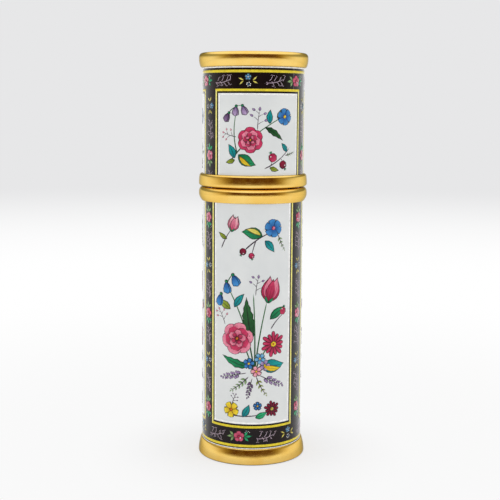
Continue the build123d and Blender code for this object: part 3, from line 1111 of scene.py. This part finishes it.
@dataclass
class EnamelTube:
    """An enamelled tube: its ground, its lines, its border and its three painted panels."""

    node: str
    body: str
    low_collar: str
    high_collar: str
    turn: float  # degrees that the decoration is turned
    panels: tuple[Panel, ...]
    border_above: bool
    ring_gap: float  # from the collar to the middle of the yellow ring, in millimetres
    first_rose: float  # degrees from the front to the first rose of the level border
    first_upright: int  # which motif the upright borders start with
    seam: float  # degrees from the front to the seam of the painted transfer
    seed: int
    frame_gap: float = 4.55  # from the collar to the middle of the frame line
    lines: LineSizes = LineSizes()
    border: BorderSizes = BorderSizes()
    radius: float = field(init=False)
    low: float = field(init=False)
    high: float = field(init=False)

    def __post_init__(self) -> None:
        """Takes the tube's own sizes from the frame."""
        self.radius = tube_radius(self.node)
        self.low = edge_height(self.low_collar, True)
        self.high = edge_height(self.high_collar, False)

    @property
    def girth(self) -> float:
        """Length round the tube."""
        return math.tau * self.radius

    @property
    def outwards(self) -> int:
        """1 where the border runs above the panels, and -1 where it runs below."""
        return 1 if self.border_above else -1

    @property
    def collar_edge(self) -> float:
        """Height of the collar's edge beside the border."""
        return self.high if self.border_above else self.low

    @property
    def ring_height(self) -> float:
        """Height of the yellow ring's middle."""
        return self.collar_edge - self.outwards * self.ring_gap

    @property
    def frame_height(self) -> float:
        """Height of the frame line's middle."""
        return self.collar_edge - self.outwards * self.frame_gap

    def round_to(self, degrees: float) -> float:
        """Length along the girth to an angle from the front."""
        return math.radians(degrees) * self.radius

    def middle(self, panel: Panel) -> float:
        """Where a panel's middle is along the girth."""
        return self.round_to(self.turn + panel.middle)

    def half(self, panel: Panel) -> float:
        """From a panel's middle to the middle of its upright yellow line."""
        return self.round_to(panel.arc / 2)

    def dress(self, effects: SharedEffects, painted: bpy.types.Material) -> None:
        """Gives the tube its ground and all its painting.

        Args:
            effects: The shared shader groups.
            painted: Material of the painting.
        """
        panel_end = self.frame_height - self.outwards * (self.lines.frame / 2 + self.lines.black)
        behind = self.low - 1 if self.border_above else self.high + 1
        inset = self.lines.upright / 2 + self.lines.black
        ground = EnamelGround(
            name=f"{self.node}_ground",
            gloss=Gloss(roughness=0.22, coat_roughness=0.02),
            radius=self.radius * MM,
            panels=tuple(
                (math.radians(self.turn + panel.middle), (self.half(panel) - inset) * MM)
                for panel in self.panels
            ),
            low=min(panel_end, behind) * MM,
            high=max(panel_end, behind) * MM,
        )
        dress_nodes(ground.build(effects), self.node)
        self.draw_lines(painted)
        self.paint_border(painted)
        for number, panel in enumerate(self.panels):
            self.paint_panel(number, panel, painted)

    def draw_lines(self, material: bpy.types.Material) -> None:
        """Lays the yellow and white lines.

        Args:
            material: Material of the painting.
        """
        lines = self.lines
        painter = Painter(self.radius)
        hairline = self.collar_edge - self.outwards * lines.hairline / 2
        rings = (
            (self.ring_height, lines.ring, Inks.LINE_YELLOW),
            (hairline, lines.hairline, Inks.LINE_WHITE),
        )
        for height, width, ink in rings:
            painter.bar((-self.girth / 2, height), (self.girth / 2, height), width, ink)
        far = self.low - lines.overrun if self.border_above else self.high + lines.overrun
        to_white = lines.black + lines.white / 2
        frames = (
            (0.0, 0.0, lines.frame, lines.upright, Inks.LINE_YELLOW, Inks.LINE_PALE),
            (
                lines.frame / 2 + to_white, lines.upright / 2 + to_white,
                lines.white, lines.white, Inks.LINE_WHITE, Inks.LINE_WHITE,
            ),
        )
        for panel in self.panels:
            middle = self.middle(panel)
            for drop, inset, width, upright_width, ink, upright_ink in frames:
                level = self.frame_height - self.outwards * drop
                half = self.half(panel) - inset
                corner = half + upright_width / 2
                painter.bar((middle - corner, level), (middle + corner, level), width, ink)
                for x in (middle - half, middle + half):
                    painter.bar((x, min(level, far)), (x, max(level, far)), upright_width, upright_ink)
        seam = self.round_to(self.seam)
        painter.bar((seam, self.frame_height), (seam, self.collar_edge), lines.seam, Inks.TWIG)
        painter.finish(f"{self.body}_painted_lines", self.body, material)

    def paint_border(self, material: bpy.types.Material) -> None:
        """Fills the dark border with roses, blossoms and twigs.

        Args:
            material: Material of the painting.
        """
        sizes = self.border
        draw = random.Random(self.seed)
        florist = Florist(self.radius)
        level = (self.ring_height + self.frame_height) / 2
        for number in range(sizes.level_count):
            across = self.round_to(self.first_rose) + number * self.girth / sizes.level_count
            spot = Place(across, level, 0, sizes.level_size)
            self._border_motif(florist, spot, number, sizes.level_scroll, draw)
        near = self.frame_height - self.outwards * sizes.upright_gap
        far = self.low if self.border_above else self.high
        for number, panel in enumerate(self.panels):
            following = self.panels[(number + 1) % len(self.panels)]
            right = self.middle(panel) + self.half(panel)
            left = self.middle(following) - self.half(following)
            across = right + ((left - right) % self.girth) / 2
            for step in range(math.ceil(abs(far - near) / sizes.upright_pitch)):
                up = near - self.outwards * (step + 0.5) * sizes.upright_pitch
                spot = Place(across, up, 90 if step % 4 else -90, sizes.upright_size)
                motif = step + 2 * number + self.first_upright
                self._border_motif(florist, spot, motif, sizes.upright_scroll, draw)
        florist.finish(f"{self.body}_border_flowers", self.body, material)

    @staticmethod
    def _border_motif(florist: Florist, spot: Place, number: int, scroll: float, draw: random.Random) -> None:
        """Paints the next motif of the border's repeat.

        Args:
            florist: Who paints it.
            spot: Where it stands.
            number: Its number in the border.
            scroll: Length of a scroll.
            draw: The seeded source of small differences.
        """
        if number % 2:
            florist.twigs(spot, scroll, draw)
        elif number % 4:
            florist.border_blossoms(spot, draw)
        else:
            florist.border_rose(spot, draw)

    def paint_panel(self, number: int, panel: Panel, material: bpy.types.Material) -> None:
        """Paints the flowers of one panel.

        Args:
            number: The panel's number, which its colours follow.
            panel: The panel.
            material: Material of the painting.
        """
        florist = Florist(self.radius)
        base = Place(self.middle(panel), 0, flip=number == 1)
        if self.border_above:
            self._cap_spray(florist, base, number)
        else:
            self._body_bouquet(florist, base, number)
            self._body_sprigs(florist, base, number)
        florist.finish(f"{self.body}_panel_{number + 1}_flowers", self.body, material)

    @staticmethod
    def _body_bouquet(f: Florist, base: Place, number: int) -> None:
        """The bouquet in the middle of a long panel.

        Args:
            f: Who paints it.
            base: The panel's middle line.
            number: The panel's number.
        """
        main, other = ((Inks.PINK, Inks.CRIMSON), (Inks.BLUSH, Inks.PINK), (Inks.CRIMSON, Inks.PINK))[number]
        cool = (Inks.BLUE, Inks.BLUE, Inks.LILAC)[number]
        knot = (0.5, 18.4)
        stems = (
            ((-2.8, 27.0), 14), ((3.0, 33.4), -8), ((4.4, 25.4), -34), ((-5.2, 36.4), 26), ((0.2, 35.0), 6),
        )
        for end, bend in stems:
            f.line(base, knot, end, 0.36, Inks.FOREST, bend)
        f.line(base, (-5.4, 36.2), (-3.8, 38.8), 0.3, Inks.FOREST, -30)
        f.line(base, (3.8, 27.6), (6.7, 30.6), 0.28, Inks.STEM, -30)
        f.arrange(base, (
            (f.toothed_leaf, 0.1, 25.4, 98, 9.0, Inks.FOREST, -14),
            (f.toothed_leaf, -0.4, 20.2, 160, 6.4, Inks.EMERALD, -30),
            (f.two_tone_leaf, 1.8, 20.4, 2, 5.2, Inks.TURQUOISE, Inks.YELLOW),
            (f.leaf, 3.6, 29.6, 34, 4.4, Inks.EMERALD, -26),
            (f.leaf, -4.4, 31.6, 152, 3.4, Inks.LIME, 24, 0.5),
            (f.leaf, -3.6, 32.0, 54, 3.6, Inks.TURQUOISE, -24),
            (f.frond, 0.9, 18.2, -62, 4.2, Inks.LIME, 4, 24),
            (f.frond, -0.6, 18.2, -140, 4.6, Inks.SAGE, 5, -20),
            (f.spike, -1.0, 18.9, -168, 5.6, Inks.LILAC),
            (f.spike, 0.1, 17.9, -104, 4.2, Inks.PLUM),
            (f.spike, 1.5, 18.4, -26, 5.6, Inks.LILAC),
            (f.bud_twig, 0.7, 34.4, 82, 3.6, Inks.LILAC, -16),
            (f.bud_twig, -5.6, 28.4, 116, 3.2, Inks.BLUSH, 16),
            (f.rose, -3.0, 25.8, 12, 3.2, main, other),
            (f.daisy, 4.4, 24.6, 5, 2.7, Inks.CRIMSON),
            (f.tulip, 3.2, 33.2, -14, 5.3, main, other),
            (f.bell, -5.4, 37.2, 8, 2.5, cool),
            (f.bell, -6.6, 34.6, -14, 2.5, cool),
            (f.bell, -4.0, 38.6, 26, 2.5, cool),
            (f.blossom, 1.6, 21.8, 32, 1.2, Inks.SKY),
            (f.blossom, -0.6, 20.8, -12, 1.2, cool),
            (f.blossom, 2.6, 20.4, 52, 1.2, Inks.LILAC),
            (f.blossom, 0.9, 19.2, 18, 1.2, Inks.BLUSH),
            (f.berry, 6.5, 31.2, -20, 0.85),
        ))

    @staticmethod
    def _body_sprigs(f: Florist, base: Place, number: int) -> None:
        """The small sprigs above and below the bouquet of a long panel.

        Args:
            f: Who paints them.
            base: The panel's middle line.
            number: The panel's number.
        """
        cool, warm = ((Inks.BLUE, Inks.PINK), (Inks.LILAC, Inks.CRIMSON), (Inks.TURQUOISE, Inks.PINK))[number]
        stems = (
            ((-1.6, 43.4), (5.6, 47.6), 0.32, -34),
            ((0.7, 45.5), (-0.1, 42.8), 0.26, 10),
            ((-6.6, 43.6), (-4.4, 47.4), 0.3, -18),
            ((-4.4, 10.2), (4.0, 11.0), 0.3, 30),
        )
        for start, end, width, bend in stems:
            f.line(base, start, end, width, Inks.STEM, bend)
        f.arrange(base, (
            (f.blossom, 4.2, 47.8, 12, 1.9, cool, warm, 6),
            (f.two_tone_leaf, 2.0, 46.2, 168, 4.4, Inks.EMERALD, Inks.LEMON),
            (f.leaf, 2.4, 45.4, -50, 3.2, Inks.TURQUOISE, -20, 0.5),
            (f.berry, -1.9, 43.2, 150, 0.75, Inks.RASPBERRY),
            (f.berry, -0.2, 42.4, 190, 0.65),
            (f.frond, 5.2, 46.6, -64, 3.4, Inks.SAGE, 4, 14),
            (f.tulip, -4.3, 47.2, -16, 3.4, Inks.BLUSH, warm),
            (f.leaf, -5.2, 45.6, 148, 2.5, Inks.LIME, -24),
            (f.blossom, -4.2, 11.2, 30, 1.7, Inks.YELLOW, Inks.AMBER),
            (f.leaf, -1.9, 9.8, 62, 3.1, Inks.TURQUOISE, 24, 0.5),
            (f.leaf, 0.7, 9.7, 26, 2.8, Inks.JADE, 24, 0.5),
            (f.daisy, 4.2, 11.4, 0, 1.8, Inks.RASPBERRY, Inks.LEMON, 11),
            (f.blossom, 1.2, 12.1, 0, 0.95, cool),
            (f.bud_twig, -4.0, 12.4, 68, 2.0, Inks.PLUM, -16),
        ))

    @staticmethod
    def _cap_spray(f: Florist, base: Place, number: int) -> None:
        """A leaning spray, with berries in the opposite corner.

        Args:
            f: Who paints it.
            base: The panel's middle line.
            number: The panel's number.
        """
        pairs = (Inks.CRIMSON, Inks.PINK), (Inks.PINK, Inks.CRIMSON), (Inks.BLUSH, Inks.CRIMSON)
        main, other = pairs[number]
        stems = (
            ((-6.4, 60.2), (5.0, 69.6), 0.32, Inks.FOREST, -30),
            ((-4.4, 62.2), (-4.6, 70.6), 0.28, Inks.FOREST, -34),
            ((-6.2, 70.3), (-3.5, 71.7), 0.24, Inks.FOREST, -50),
            ((0.8, 59.4), (6.6, 63.6), 0.28, Inks.STEM, 26),
            ((2.1, 59.8), (2.5, 60.8), 0.2, Inks.STEM),
            ((4.4, 61.4), (4.8, 60.8), 0.2, Inks.STEM),
        )
        for stem in stems:
            f.line(base, *stem)
        f.arrange(base, (
            (f.two_tone_leaf, -4.3, 62.2, -30, 4.2, Inks.EMERALD, Inks.YELLOW),
            (f.leaf, -5.0, 61.4, 116, 3.2, Inks.TURQUOISE, 26, 0.5),
            (f.leaf, -4.9, 61.2, 196, 2.2, Inks.LIME, -20, 0.5),
            (f.toothed_leaf, 0.9, 67.5, -34, 4.8, Inks.FOREST, -20),
            (f.leaf, 2.0, 68.1, 88, 2.9, Inks.TURQUOISE, -26, 0.5),
            (f.leaf, 3.5, 69.1, 68, 2.0, Inks.LIME, 20, 0.5),
            (f.bud_twig, -0.5, 66.8, 84, 3.9, Inks.LILAC, -12),
            (f.bud_twig, -4.6, 65.6, 164, 2.8, Inks.BLUSH, -20),
            (f.rose, -1.9, 65.0, 30, 2.5, main, other),
            (f.blossom, 5.2, 69.5, 10, 1.75, Inks.BLUE, Inks.YELLOW, 6),
            (f.bell, -4.7, 71.6, -8, 2.0, Inks.LILAC),
            (f.bell, -6.2, 70.3, -28, 2.0, Inks.PLUM),
            (f.bell, -3.5, 71.7, 22, 2.0, Inks.LILAC),
            (f.berry, 2.6, 61.6, 24, 0.95),
            (f.berry, 4.9, 60.2, -150, 0.9, Inks.RASPBERRY),
            (f.leaf, 5.9, 62.6, 128, 2.4, Inks.TURQUOISE, 20, 0.5),
            (f.leaf, 1.9, 59.7, -16, 2.2, Inks.LIME, 20, 0.5),
            (f.frond, 5.4, 62.0, 14, 2.4, Inks.SAGE, 4, 14),
        ))


# ------------------------------------------------------------------ the metalwork and the mechanism


@dataclass(frozen=True)
class CollarProfile:
    """The outside of a collar, from its flanged end to the edge that laps the tube."""

    crest: float  # share of the height at which it is widest
    end_crown: float  # radius that the crown loses by the flanged end, in millimetres
    edge_crown: float  # radius that the crown loses by the edge
    end_height: float  # height of the rounded end
    end_drop: float  # radius lost in the rounded end
    edge_height: float  # height of the rounded edge

    def lost_radius(self, share: float, height: float, whole: float) -> float:
        """Radius lost at a place.

        Args:
            share: The place, from 0 at the flanged end to 1 at the edge.
            height: The collar's height.
            whole: Radius that is lost at the very edge.

        Returns:
            How much smaller the radius is there than at the crest.
        """
        off = share - self.crest
        lost = self.edge_crown * (off / (1 - self.crest)) ** 2
        if off <= 0:
            lost = self.end_crown * (off / self.crest) ** 2
        into_end = max(0.0, 1 - share * height / self.end_height)
        lost += self.end_drop * (1 - math.sqrt(1 - into_end ** 2))
        into_edge = max(0.0, 1 - (1 - share) * height / self.edge_height)
        return lost + (whole - self.edge_crown) * (1 - math.sqrt(1 - into_edge ** 2))


@dataclass(frozen=True)
class Collar:
    """A gilt collar that laps an enamelled tube, with a ledge behind the tube's end."""

    node: str
    body: str
    tube: str
    upward: bool  # whether the flanged end is the upper one
    profile: CollarProfile
    painted_shade_height: float = 0.0  # height of its painted shade along the lower edge, where it meets the floor, in metres

    LIP = 0.1  # thickness of the edge that laps the tube, in millimetres
    PLAY = 0.03  # clearance round the tube
    STEPS = 30  # along the profile
    SEGMENTS = 192  # round the collar
    SHARP = math.radians(35)  # an edge is kept sharp from this angle

    def outline(self) -> list[Point]:
        """Works out the section of the collar from the piece that it replaces.

        Returns:
            Radius and distance from the flanged end of each corner, in millimetres.
        """
        low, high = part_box(self.node)
        height = (high.z - low.z) / MM
        seat = abs(edge_height(self.node, self.upward) - edge_height(self.tube, self.upward)) - self.PLAY
        radius = tube_radius(self.node)
        bore = tube_radius(self.tube) + self.PLAY
        vertices = frame["nodes"][self.node].data.vertices
        ledge = min(math.hypot(vert.co.x, vert.co.y) for vert in vertices) / MM
        shares = [(1 - math.cos(math.pi * step / self.STEPS)) / 2 for step in range(self.STEPS + 1)]
        whole = radius - bore - self.LIP
        lost = [self.profile.lost_radius(share, height, whole) for share in shares]
        outside = [(radius - less, share * height) for less, share in zip(lost, shares)]
        return outside + [(bore, height), (bore, seat), (ledge, seat), (ledge, 0.0)]

    def build(self, material: bpy.types.Material) -> None:
        """Spins the collar and makes it a piece.

        Args:
            material: The gilt finish.
        """
        end = edge_height(self.node, self.upward)
        towards = -1 if self.upward else 1
        mesh = bmesh.new()
        verts = [mesh.verts.new((0, -r * MM, (end + towards * z) * MM)) for r, z in self.outline()]
        edges = [mesh.edges.new(pair) for pair in zip(verts, verts[1:] + verts[:1])]
        bmesh.ops.spin(
            mesh, geom=verts + edges, cent=(0, 0, 0), axis=(0, 0, 1), angle=math.tau,
            steps=self.SEGMENTS, use_merge=True,
        )
        bmesh.ops.remove_doubles(mesh, verts=mesh.verts, dist=TOUCHING)
        bmesh.ops.recalc_face_normals(mesh, faces=mesh.faces)
        for face in mesh.faces:
            face.smooth = True
        for edge in mesh.edges:
            edge.smooth = edge.calc_face_angle(0.0) < self.SHARP
        piece = add_object(f"{self.node}_gilt", mesh, material)
        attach(piece, self.body)
        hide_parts(self.node)


@dataclass(frozen=True)
class Metalwork:
    """The gilt fittings and the plain metal parts inside."""

    top: Collar = Collar(
        "cap_top_collar", "cap", "cap_tube", True, CollarProfile(0.38, 0.12, 0.38, 0.8, 0.5, 0.3)
    )
    cap_mouth: Collar = Collar(
        "cap_mouth_collar", "cap", "cap_tube", False, CollarProfile(0.24, 0.08, 0.2, 0.5, 0.5, 0.45)
    )
    body_mouth: Collar = Collar(
        "body_mouth_collar", "case", "body_tube", True, CollarProfile(0.45, 0.18, 0.6, 0.85, 0.48, 0.2)
    )
    # The foot's last number is the height of its painted shade along the lower edge.
    foot: Collar = Collar(
        "foot_collar", "case", "body_tube", False, CollarProfile(0.06, 0.02, 0.54, 0.42, 0.42, 0.5), 0.3 * MM
    )
    gilt: TurnedMetal = TurnedMetal(
        name="gilt", colour=tint(252, 214, 122), second=tint(248, 203, 104),
        gloss=Gloss(metallic=1.0, roughness=0.13, slant_tint=(0.5, 0.5, 0.42, 1.0)),
    )
    brass: TurnedMetal = TurnedMetal(
        name="drawn_brass", colour=tint(226, 190, 120), second=tint(206, 164, 96),
        gloss=Gloss(metallic=1.0, roughness=0.26), lines=14000.0, scuff=0.14,
    )
    ballast: TurnedMetal = TurnedMetal(
        name="ballast_steel", colour=tint(176, 176, 180), second=tint(150, 150, 156),
        gloss=Gloss(metallic=1.0, roughness=0.34), lines=7000.0, scuff=0.16,
    )
    spring: TurnedMetal = TurnedMetal(
        name="spring_steel", colour=tint(206, 206, 212), second=tint(186, 186, 194),
        gloss=Gloss(metallic=1.0, roughness=0.2), lines=16000.0,
    )

    def dress(self, effects: SharedEffects) -> None:
        """Makes the collars and dresses every metal piece.

        Args:
            effects: The shared shader groups.
        """
        gilt = self.gilt.build(effects)
        # The foot gets a second gilt, with painted shade at its lower edge.
        painted_shade = replace(self.gilt, name="foot_gilt", painted_shade_height=self.foot.painted_shade_height).build(effects)
        for collar in (self.top, self.cap_mouth, self.body_mouth, self.foot):
            material = painted_shade if collar.painted_shade_height else gilt
            dress_nodes(material, collar.node)
            collar.build(material)
        dress_nodes(gilt, "foot_plate", "cap_top_plate", "neck_sleeve")
        dress_nodes(self.brass.build(effects), "holder_sleeve", "cap_liner")
        dress_nodes(self.ballast.build(effects), "base_weight")
        dress_nodes(self.spring.build(effects), "snap_ring", "grip_ring")


@dataclass(frozen=True)
class Mechanism:
    """The moulded parts of the swivel and the stick of lipstick."""

    black: Moulded = Moulded(
        name="black_plastic", colour=tint(26, 26, 28), second=tint(36, 36, 40), gloss=Gloss(roughness=0.42)
    )
    ivory: Moulded = Moulded(
        name="ivory_plastic", colour=tint(236, 230, 214), second=tint(231, 224, 207),
        gloss=Gloss(roughness=0.3, subsurface=0.15),
    )
    rubber: Moulded = Moulded(
        name="brake_rubber", colour=tint(58, 58, 62), second=tint(46, 46, 50), gloss=Gloss(roughness=0.7)
    )
    wax: Moulded = Moulded(
        name="lipstick_wax", colour=tint(178, 24, 52), second=tint(162, 18, 44),
        gloss=Gloss(roughness=0.32, subsurface=0.1, coat=0.15, coat_roughness=0.2),
        grain=2600.0, depth=0.006 * MM,
    )

    def dress(self, effects: SharedEffects) -> None:
        """Dresses every moulded piece.

        Args:
            effects: The shared shader groups.
        """
        dress_nodes(self.black.build(effects), "base_plug", "drive_plug")
        dress_nodes(self.ivory.build(effects), "spiral_tube", "guide_tube", "product_cup")
        dress_nodes(self.rubber.build(effects), "brake_rings")
        dress_nodes(self.wax.build(effects), "lipstick_bullet")


# ------------------------------------------------------------------ the studio


@dataclass(frozen=True)
class Softbox:
    """A soft lamp: its place, its size and its brightness. It points at the object's middle."""

    name: str
    place: tuple[float, float, float]
    width: float
    height: float
    watts: float

    AIM = Vector((0, 0, 0.045))

    def hang(self) -> None:
        """Hangs the lamp, out of sight of mirrors."""
        data = bpy.data.lights.new(self.name, "AREA")
        data.shape = "RECTANGLE"
        data.size = self.width
        data.size_y = self.height
        data.energy = self.watts
        lamp = bpy.data.objects.new(self.name, data)
        lamp.location = self.place
        lamp.rotation_euler = (self.AIM - Vector(self.place)).to_track_quat("-Z", "Y").to_euler()
        lamp.visible_glossy = False
        bpy.context.scene.collection.objects.link(lamp)


@dataclass(frozen=True)
class TentZone:
    """A toned zone of the light tent, below its ceiling."""

    colour: Colour
    rise: Point  # heights where it begins and is full, as shares of the tent's radius
    reach: Point = ()  # degrees from the front where it begins to fade and has gone
    cloudy: bool = False


@dataclass(frozen=True)
class Studio:
    """Camera, lamps, a pale floor and what the metal mirrors."""

    eye: tuple[float, float, float] = (-0.0005, -0.2202, 0.07084)
    pitch: float = 7.4  # degrees that the camera looks down
    roll: float = 0.37  # degrees that it leans
    lens: float = 77.8
    room_light: float = 0.62
    white: Colour = (1.0, 1.0, 1.0, 1.0)
    near_white: Colour = tint(249, 249, 249)
    distance: Colour = tint(231, 231, 232)
    floor_radius: float = 6.0
    tent_radius: float = 0.6
    tent_height: float = 0.055  # height of its centre
    tent_wall: Colour = (0.97, 0.97, 0.97, 1.0)
    tent_ceiling: Colour = (1.12, 1.12, 1.16, 1.0)
    ceiling_rise: Point = (0.42, 0.6)
    zones: tuple[TentZone, ...] = (
        TentZone((0.36, 0.36, 0.27, 1.0), (0.08, 0.18)),
        TentZone((0.45, 0.34, 0.07, 1.0), (-0.09, -0.02), (50, 105)),
        TentZone((0.09, 0.03, 0.002, 1.0), (-0.07, 0.02), (38, 78), True),
    )
    lamps: tuple[Softbox, ...] = (
        Softbox("top_softbox", (0.0, -0.12, 0.5), 0.4, 0.4, 0.5),
        Softbox("left_softbox", (-0.42, -0.16, 0.2), 0.3, 0.4, 0.35),
        Softbox("right_softbox", (0.42, -0.16, 0.2), 0.3, 0.4, 0.35),
    )

    def build(self) -> None:
        """Builds the whole studio."""
        self._camera()
        self._world()
        self._floor()
        self._tent()
        for lamp in self.lamps:
            lamp.hang()

    def _camera(self) -> None:
        """Places the camera."""
        data = bpy.data.cameras.new("camera")
        data.lens = self.lens
        data.clip_start = 0.01
        camera = bpy.data.objects.new("camera", data)
        camera.location = self.eye
        pitch = math.radians(self.pitch)
        look = Vector((0, math.cos(pitch), -math.sin(pitch))).to_track_quat("-Z", "Y").to_matrix()
        camera.rotation_euler = (look @ Matrix.Rotation(math.radians(self.roll), 3, "Z")).to_euler()
        bpy.context.scene.collection.objects.link(camera)
        bpy.context.scene.camera = camera
        bpy.context.scene.view_settings.view_transform = "Standard"

    def _world(self) -> None:
        """Makes a white room, with a pale grey distance behind the object."""
        world = bpy.data.worlds.new("room")
        world.use_nodes = True
        bpy.context.scene.world = world
        graph = Graph(world.node_tree)
        rays = graph.node("LightPath").outputs
        seen = graph.math("MAXIMUM", rays["Is Camera Ray"], rays["Is Glossy Ray"])
        seen = graph.math("MAXIMUM", seen, rays["Is Transmission Ray"])
        background = graph.feed(graph.node("Background"), {
            "Color": graph.mix(rays["Is Camera Ray"], self.white, self.distance),
            "Strength": graph.span(seen, 0.0, 1.0, self.room_light, 1.0),
        })
        graph.feed(graph.node("OutputWorld"), {"Surface": background.outputs[0]})

    def _floor(self) -> None:
        """Lays a white floor that fades into the pale distance."""
        material, graph = new_material("floor")
        away = graph.feed(graph.node("VectorMath", operation="LENGTH"), {0: graph.place()}).outputs["Value"]
        near = graph.mix(graph.span(away, 0.03, 0.2), self.near_white, self.white)
        colour = graph.mix(graph.span(away, 0.25, 0.8), near, self.distance)
        matt = graph.feed(graph.node("BsdfDiffuse"), {"Color": colour})
        glow = graph.feed(graph.node("Emission"), {"Color": colour})
        rays = graph.node("LightPath").outputs
        shown = graph.times(rays["Is Camera Ray"], graph.span(away, 0.011, 0.035, 0.68, 1.0))
        mirrored = graph.times(rays["Is Glossy Ray"], graph.span(away, 0.011, 0.04))
        share = graph.math("MAXIMUM", shown, mirrored)
        blend = graph.feed(graph.node("MixShader"), {0: share, 1: matt.outputs[0], 2: glow.outputs[0]})
        graph.feed(graph.node("OutputMaterial"), {"Surface": blend.outputs[0]})
        mesh = bmesh.new()
        bmesh.ops.create_circle(mesh, cap_ends=True, segments=96, radius=self.floor_radius)
        add_object("floor", mesh, material)

    def _tent(self) -> None:
        """Puts up the light tent that only mirrors show, with its dark opening at the front."""
        material, graph = new_material("light_tent")
        place = graph.place()
        x, y, z = graph.split(place)
        rise = graph.math("DIVIDE", z, self.tent_radius)
        off_front = graph.math("ABSOLUTE", graph.bearing(x, y))
        cloud = graph.span(graph.noise(place, 7.0, 2.0, 0.5), 0.35, 0.65, 0.85, 1.0)
        ceiling = graph.span(rise, *self.ceiling_rise)
        colour = graph.mix(ceiling, self.tent_wall, self.tent_ceiling)
        for zone in self.zones:
            share = graph.math("SUBTRACT", graph.span(rise, *zone.rise), ceiling)
            if zone.reach:
                begins, gone = (math.radians(degrees) for degrees in zone.reach)
                share = graph.times(graph.span(off_front, begins, gone, 1.0, 0.0), share)
            if zone.cloudy:
                share = graph.times(share, cloud)
            colour = graph.mix(share, colour, zone.colour)
        glow = graph.feed(graph.node("Emission"), {"Color": colour})
        graph.feed(graph.node("OutputMaterial"), {"Surface": glow.outputs[0]})
        mesh = bmesh.new()
        bmesh.ops.create_uvsphere(mesh, u_segments=64, v_segments=32, radius=self.tent_radius)
        bmesh.ops.reverse_faces(mesh, faces=mesh.faces)
        tent = add_object("light_tent", mesh, material)
        tent.location.z = self.tent_height
        for ray in ("camera", "diffuse", "transmission", "volume_scatter", "shadow"):
            setattr(tent, f"visible_{ray}", False)


# ------------------------------------------------------------------ putting it together


def main() -> None:
    """Builds the looks of the whole case and its studio."""
    logging.basicConfig(level=logging.INFO, format="%(message)s")
    effects = SharedEffects()
    painted = PaintedEnamel("overglaze_paint", GLAZE).build(effects)
    body = EnamelTube(
        node="body_tube", body="case", low_collar="foot_collar", high_collar="body_mouth_collar",
        turn=0.0, panels=(Panel(0, 100), Panel(123, 96), Panel(-115.5, 96)), border_above=False,
        ring_gap=0.66, first_rose=-14.0, first_upright=0, seam=171.0, seed=11,
    )
    cap = EnamelTube(
        node="cap_tube", body="cap", low_collar="cap_mouth_collar", high_collar="cap_top_collar",
        turn=7.3, panels=(Panel(0, 105), Panel(123.5, 96), Panel(-123.5, 96)), border_above=True,
        ring_gap=0.95, first_rose=54.0, first_upright=2, seam=50.0, seed=23, lines=LineSizes(hairline=0.3),
    )
    for tube in (body, cap):
        tube.dress(effects, painted)
    Metalwork().dress(effects)
    Mechanism().dress(effects)
    Studio().build()
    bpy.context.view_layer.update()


if __name__ == "__main__":
    main()
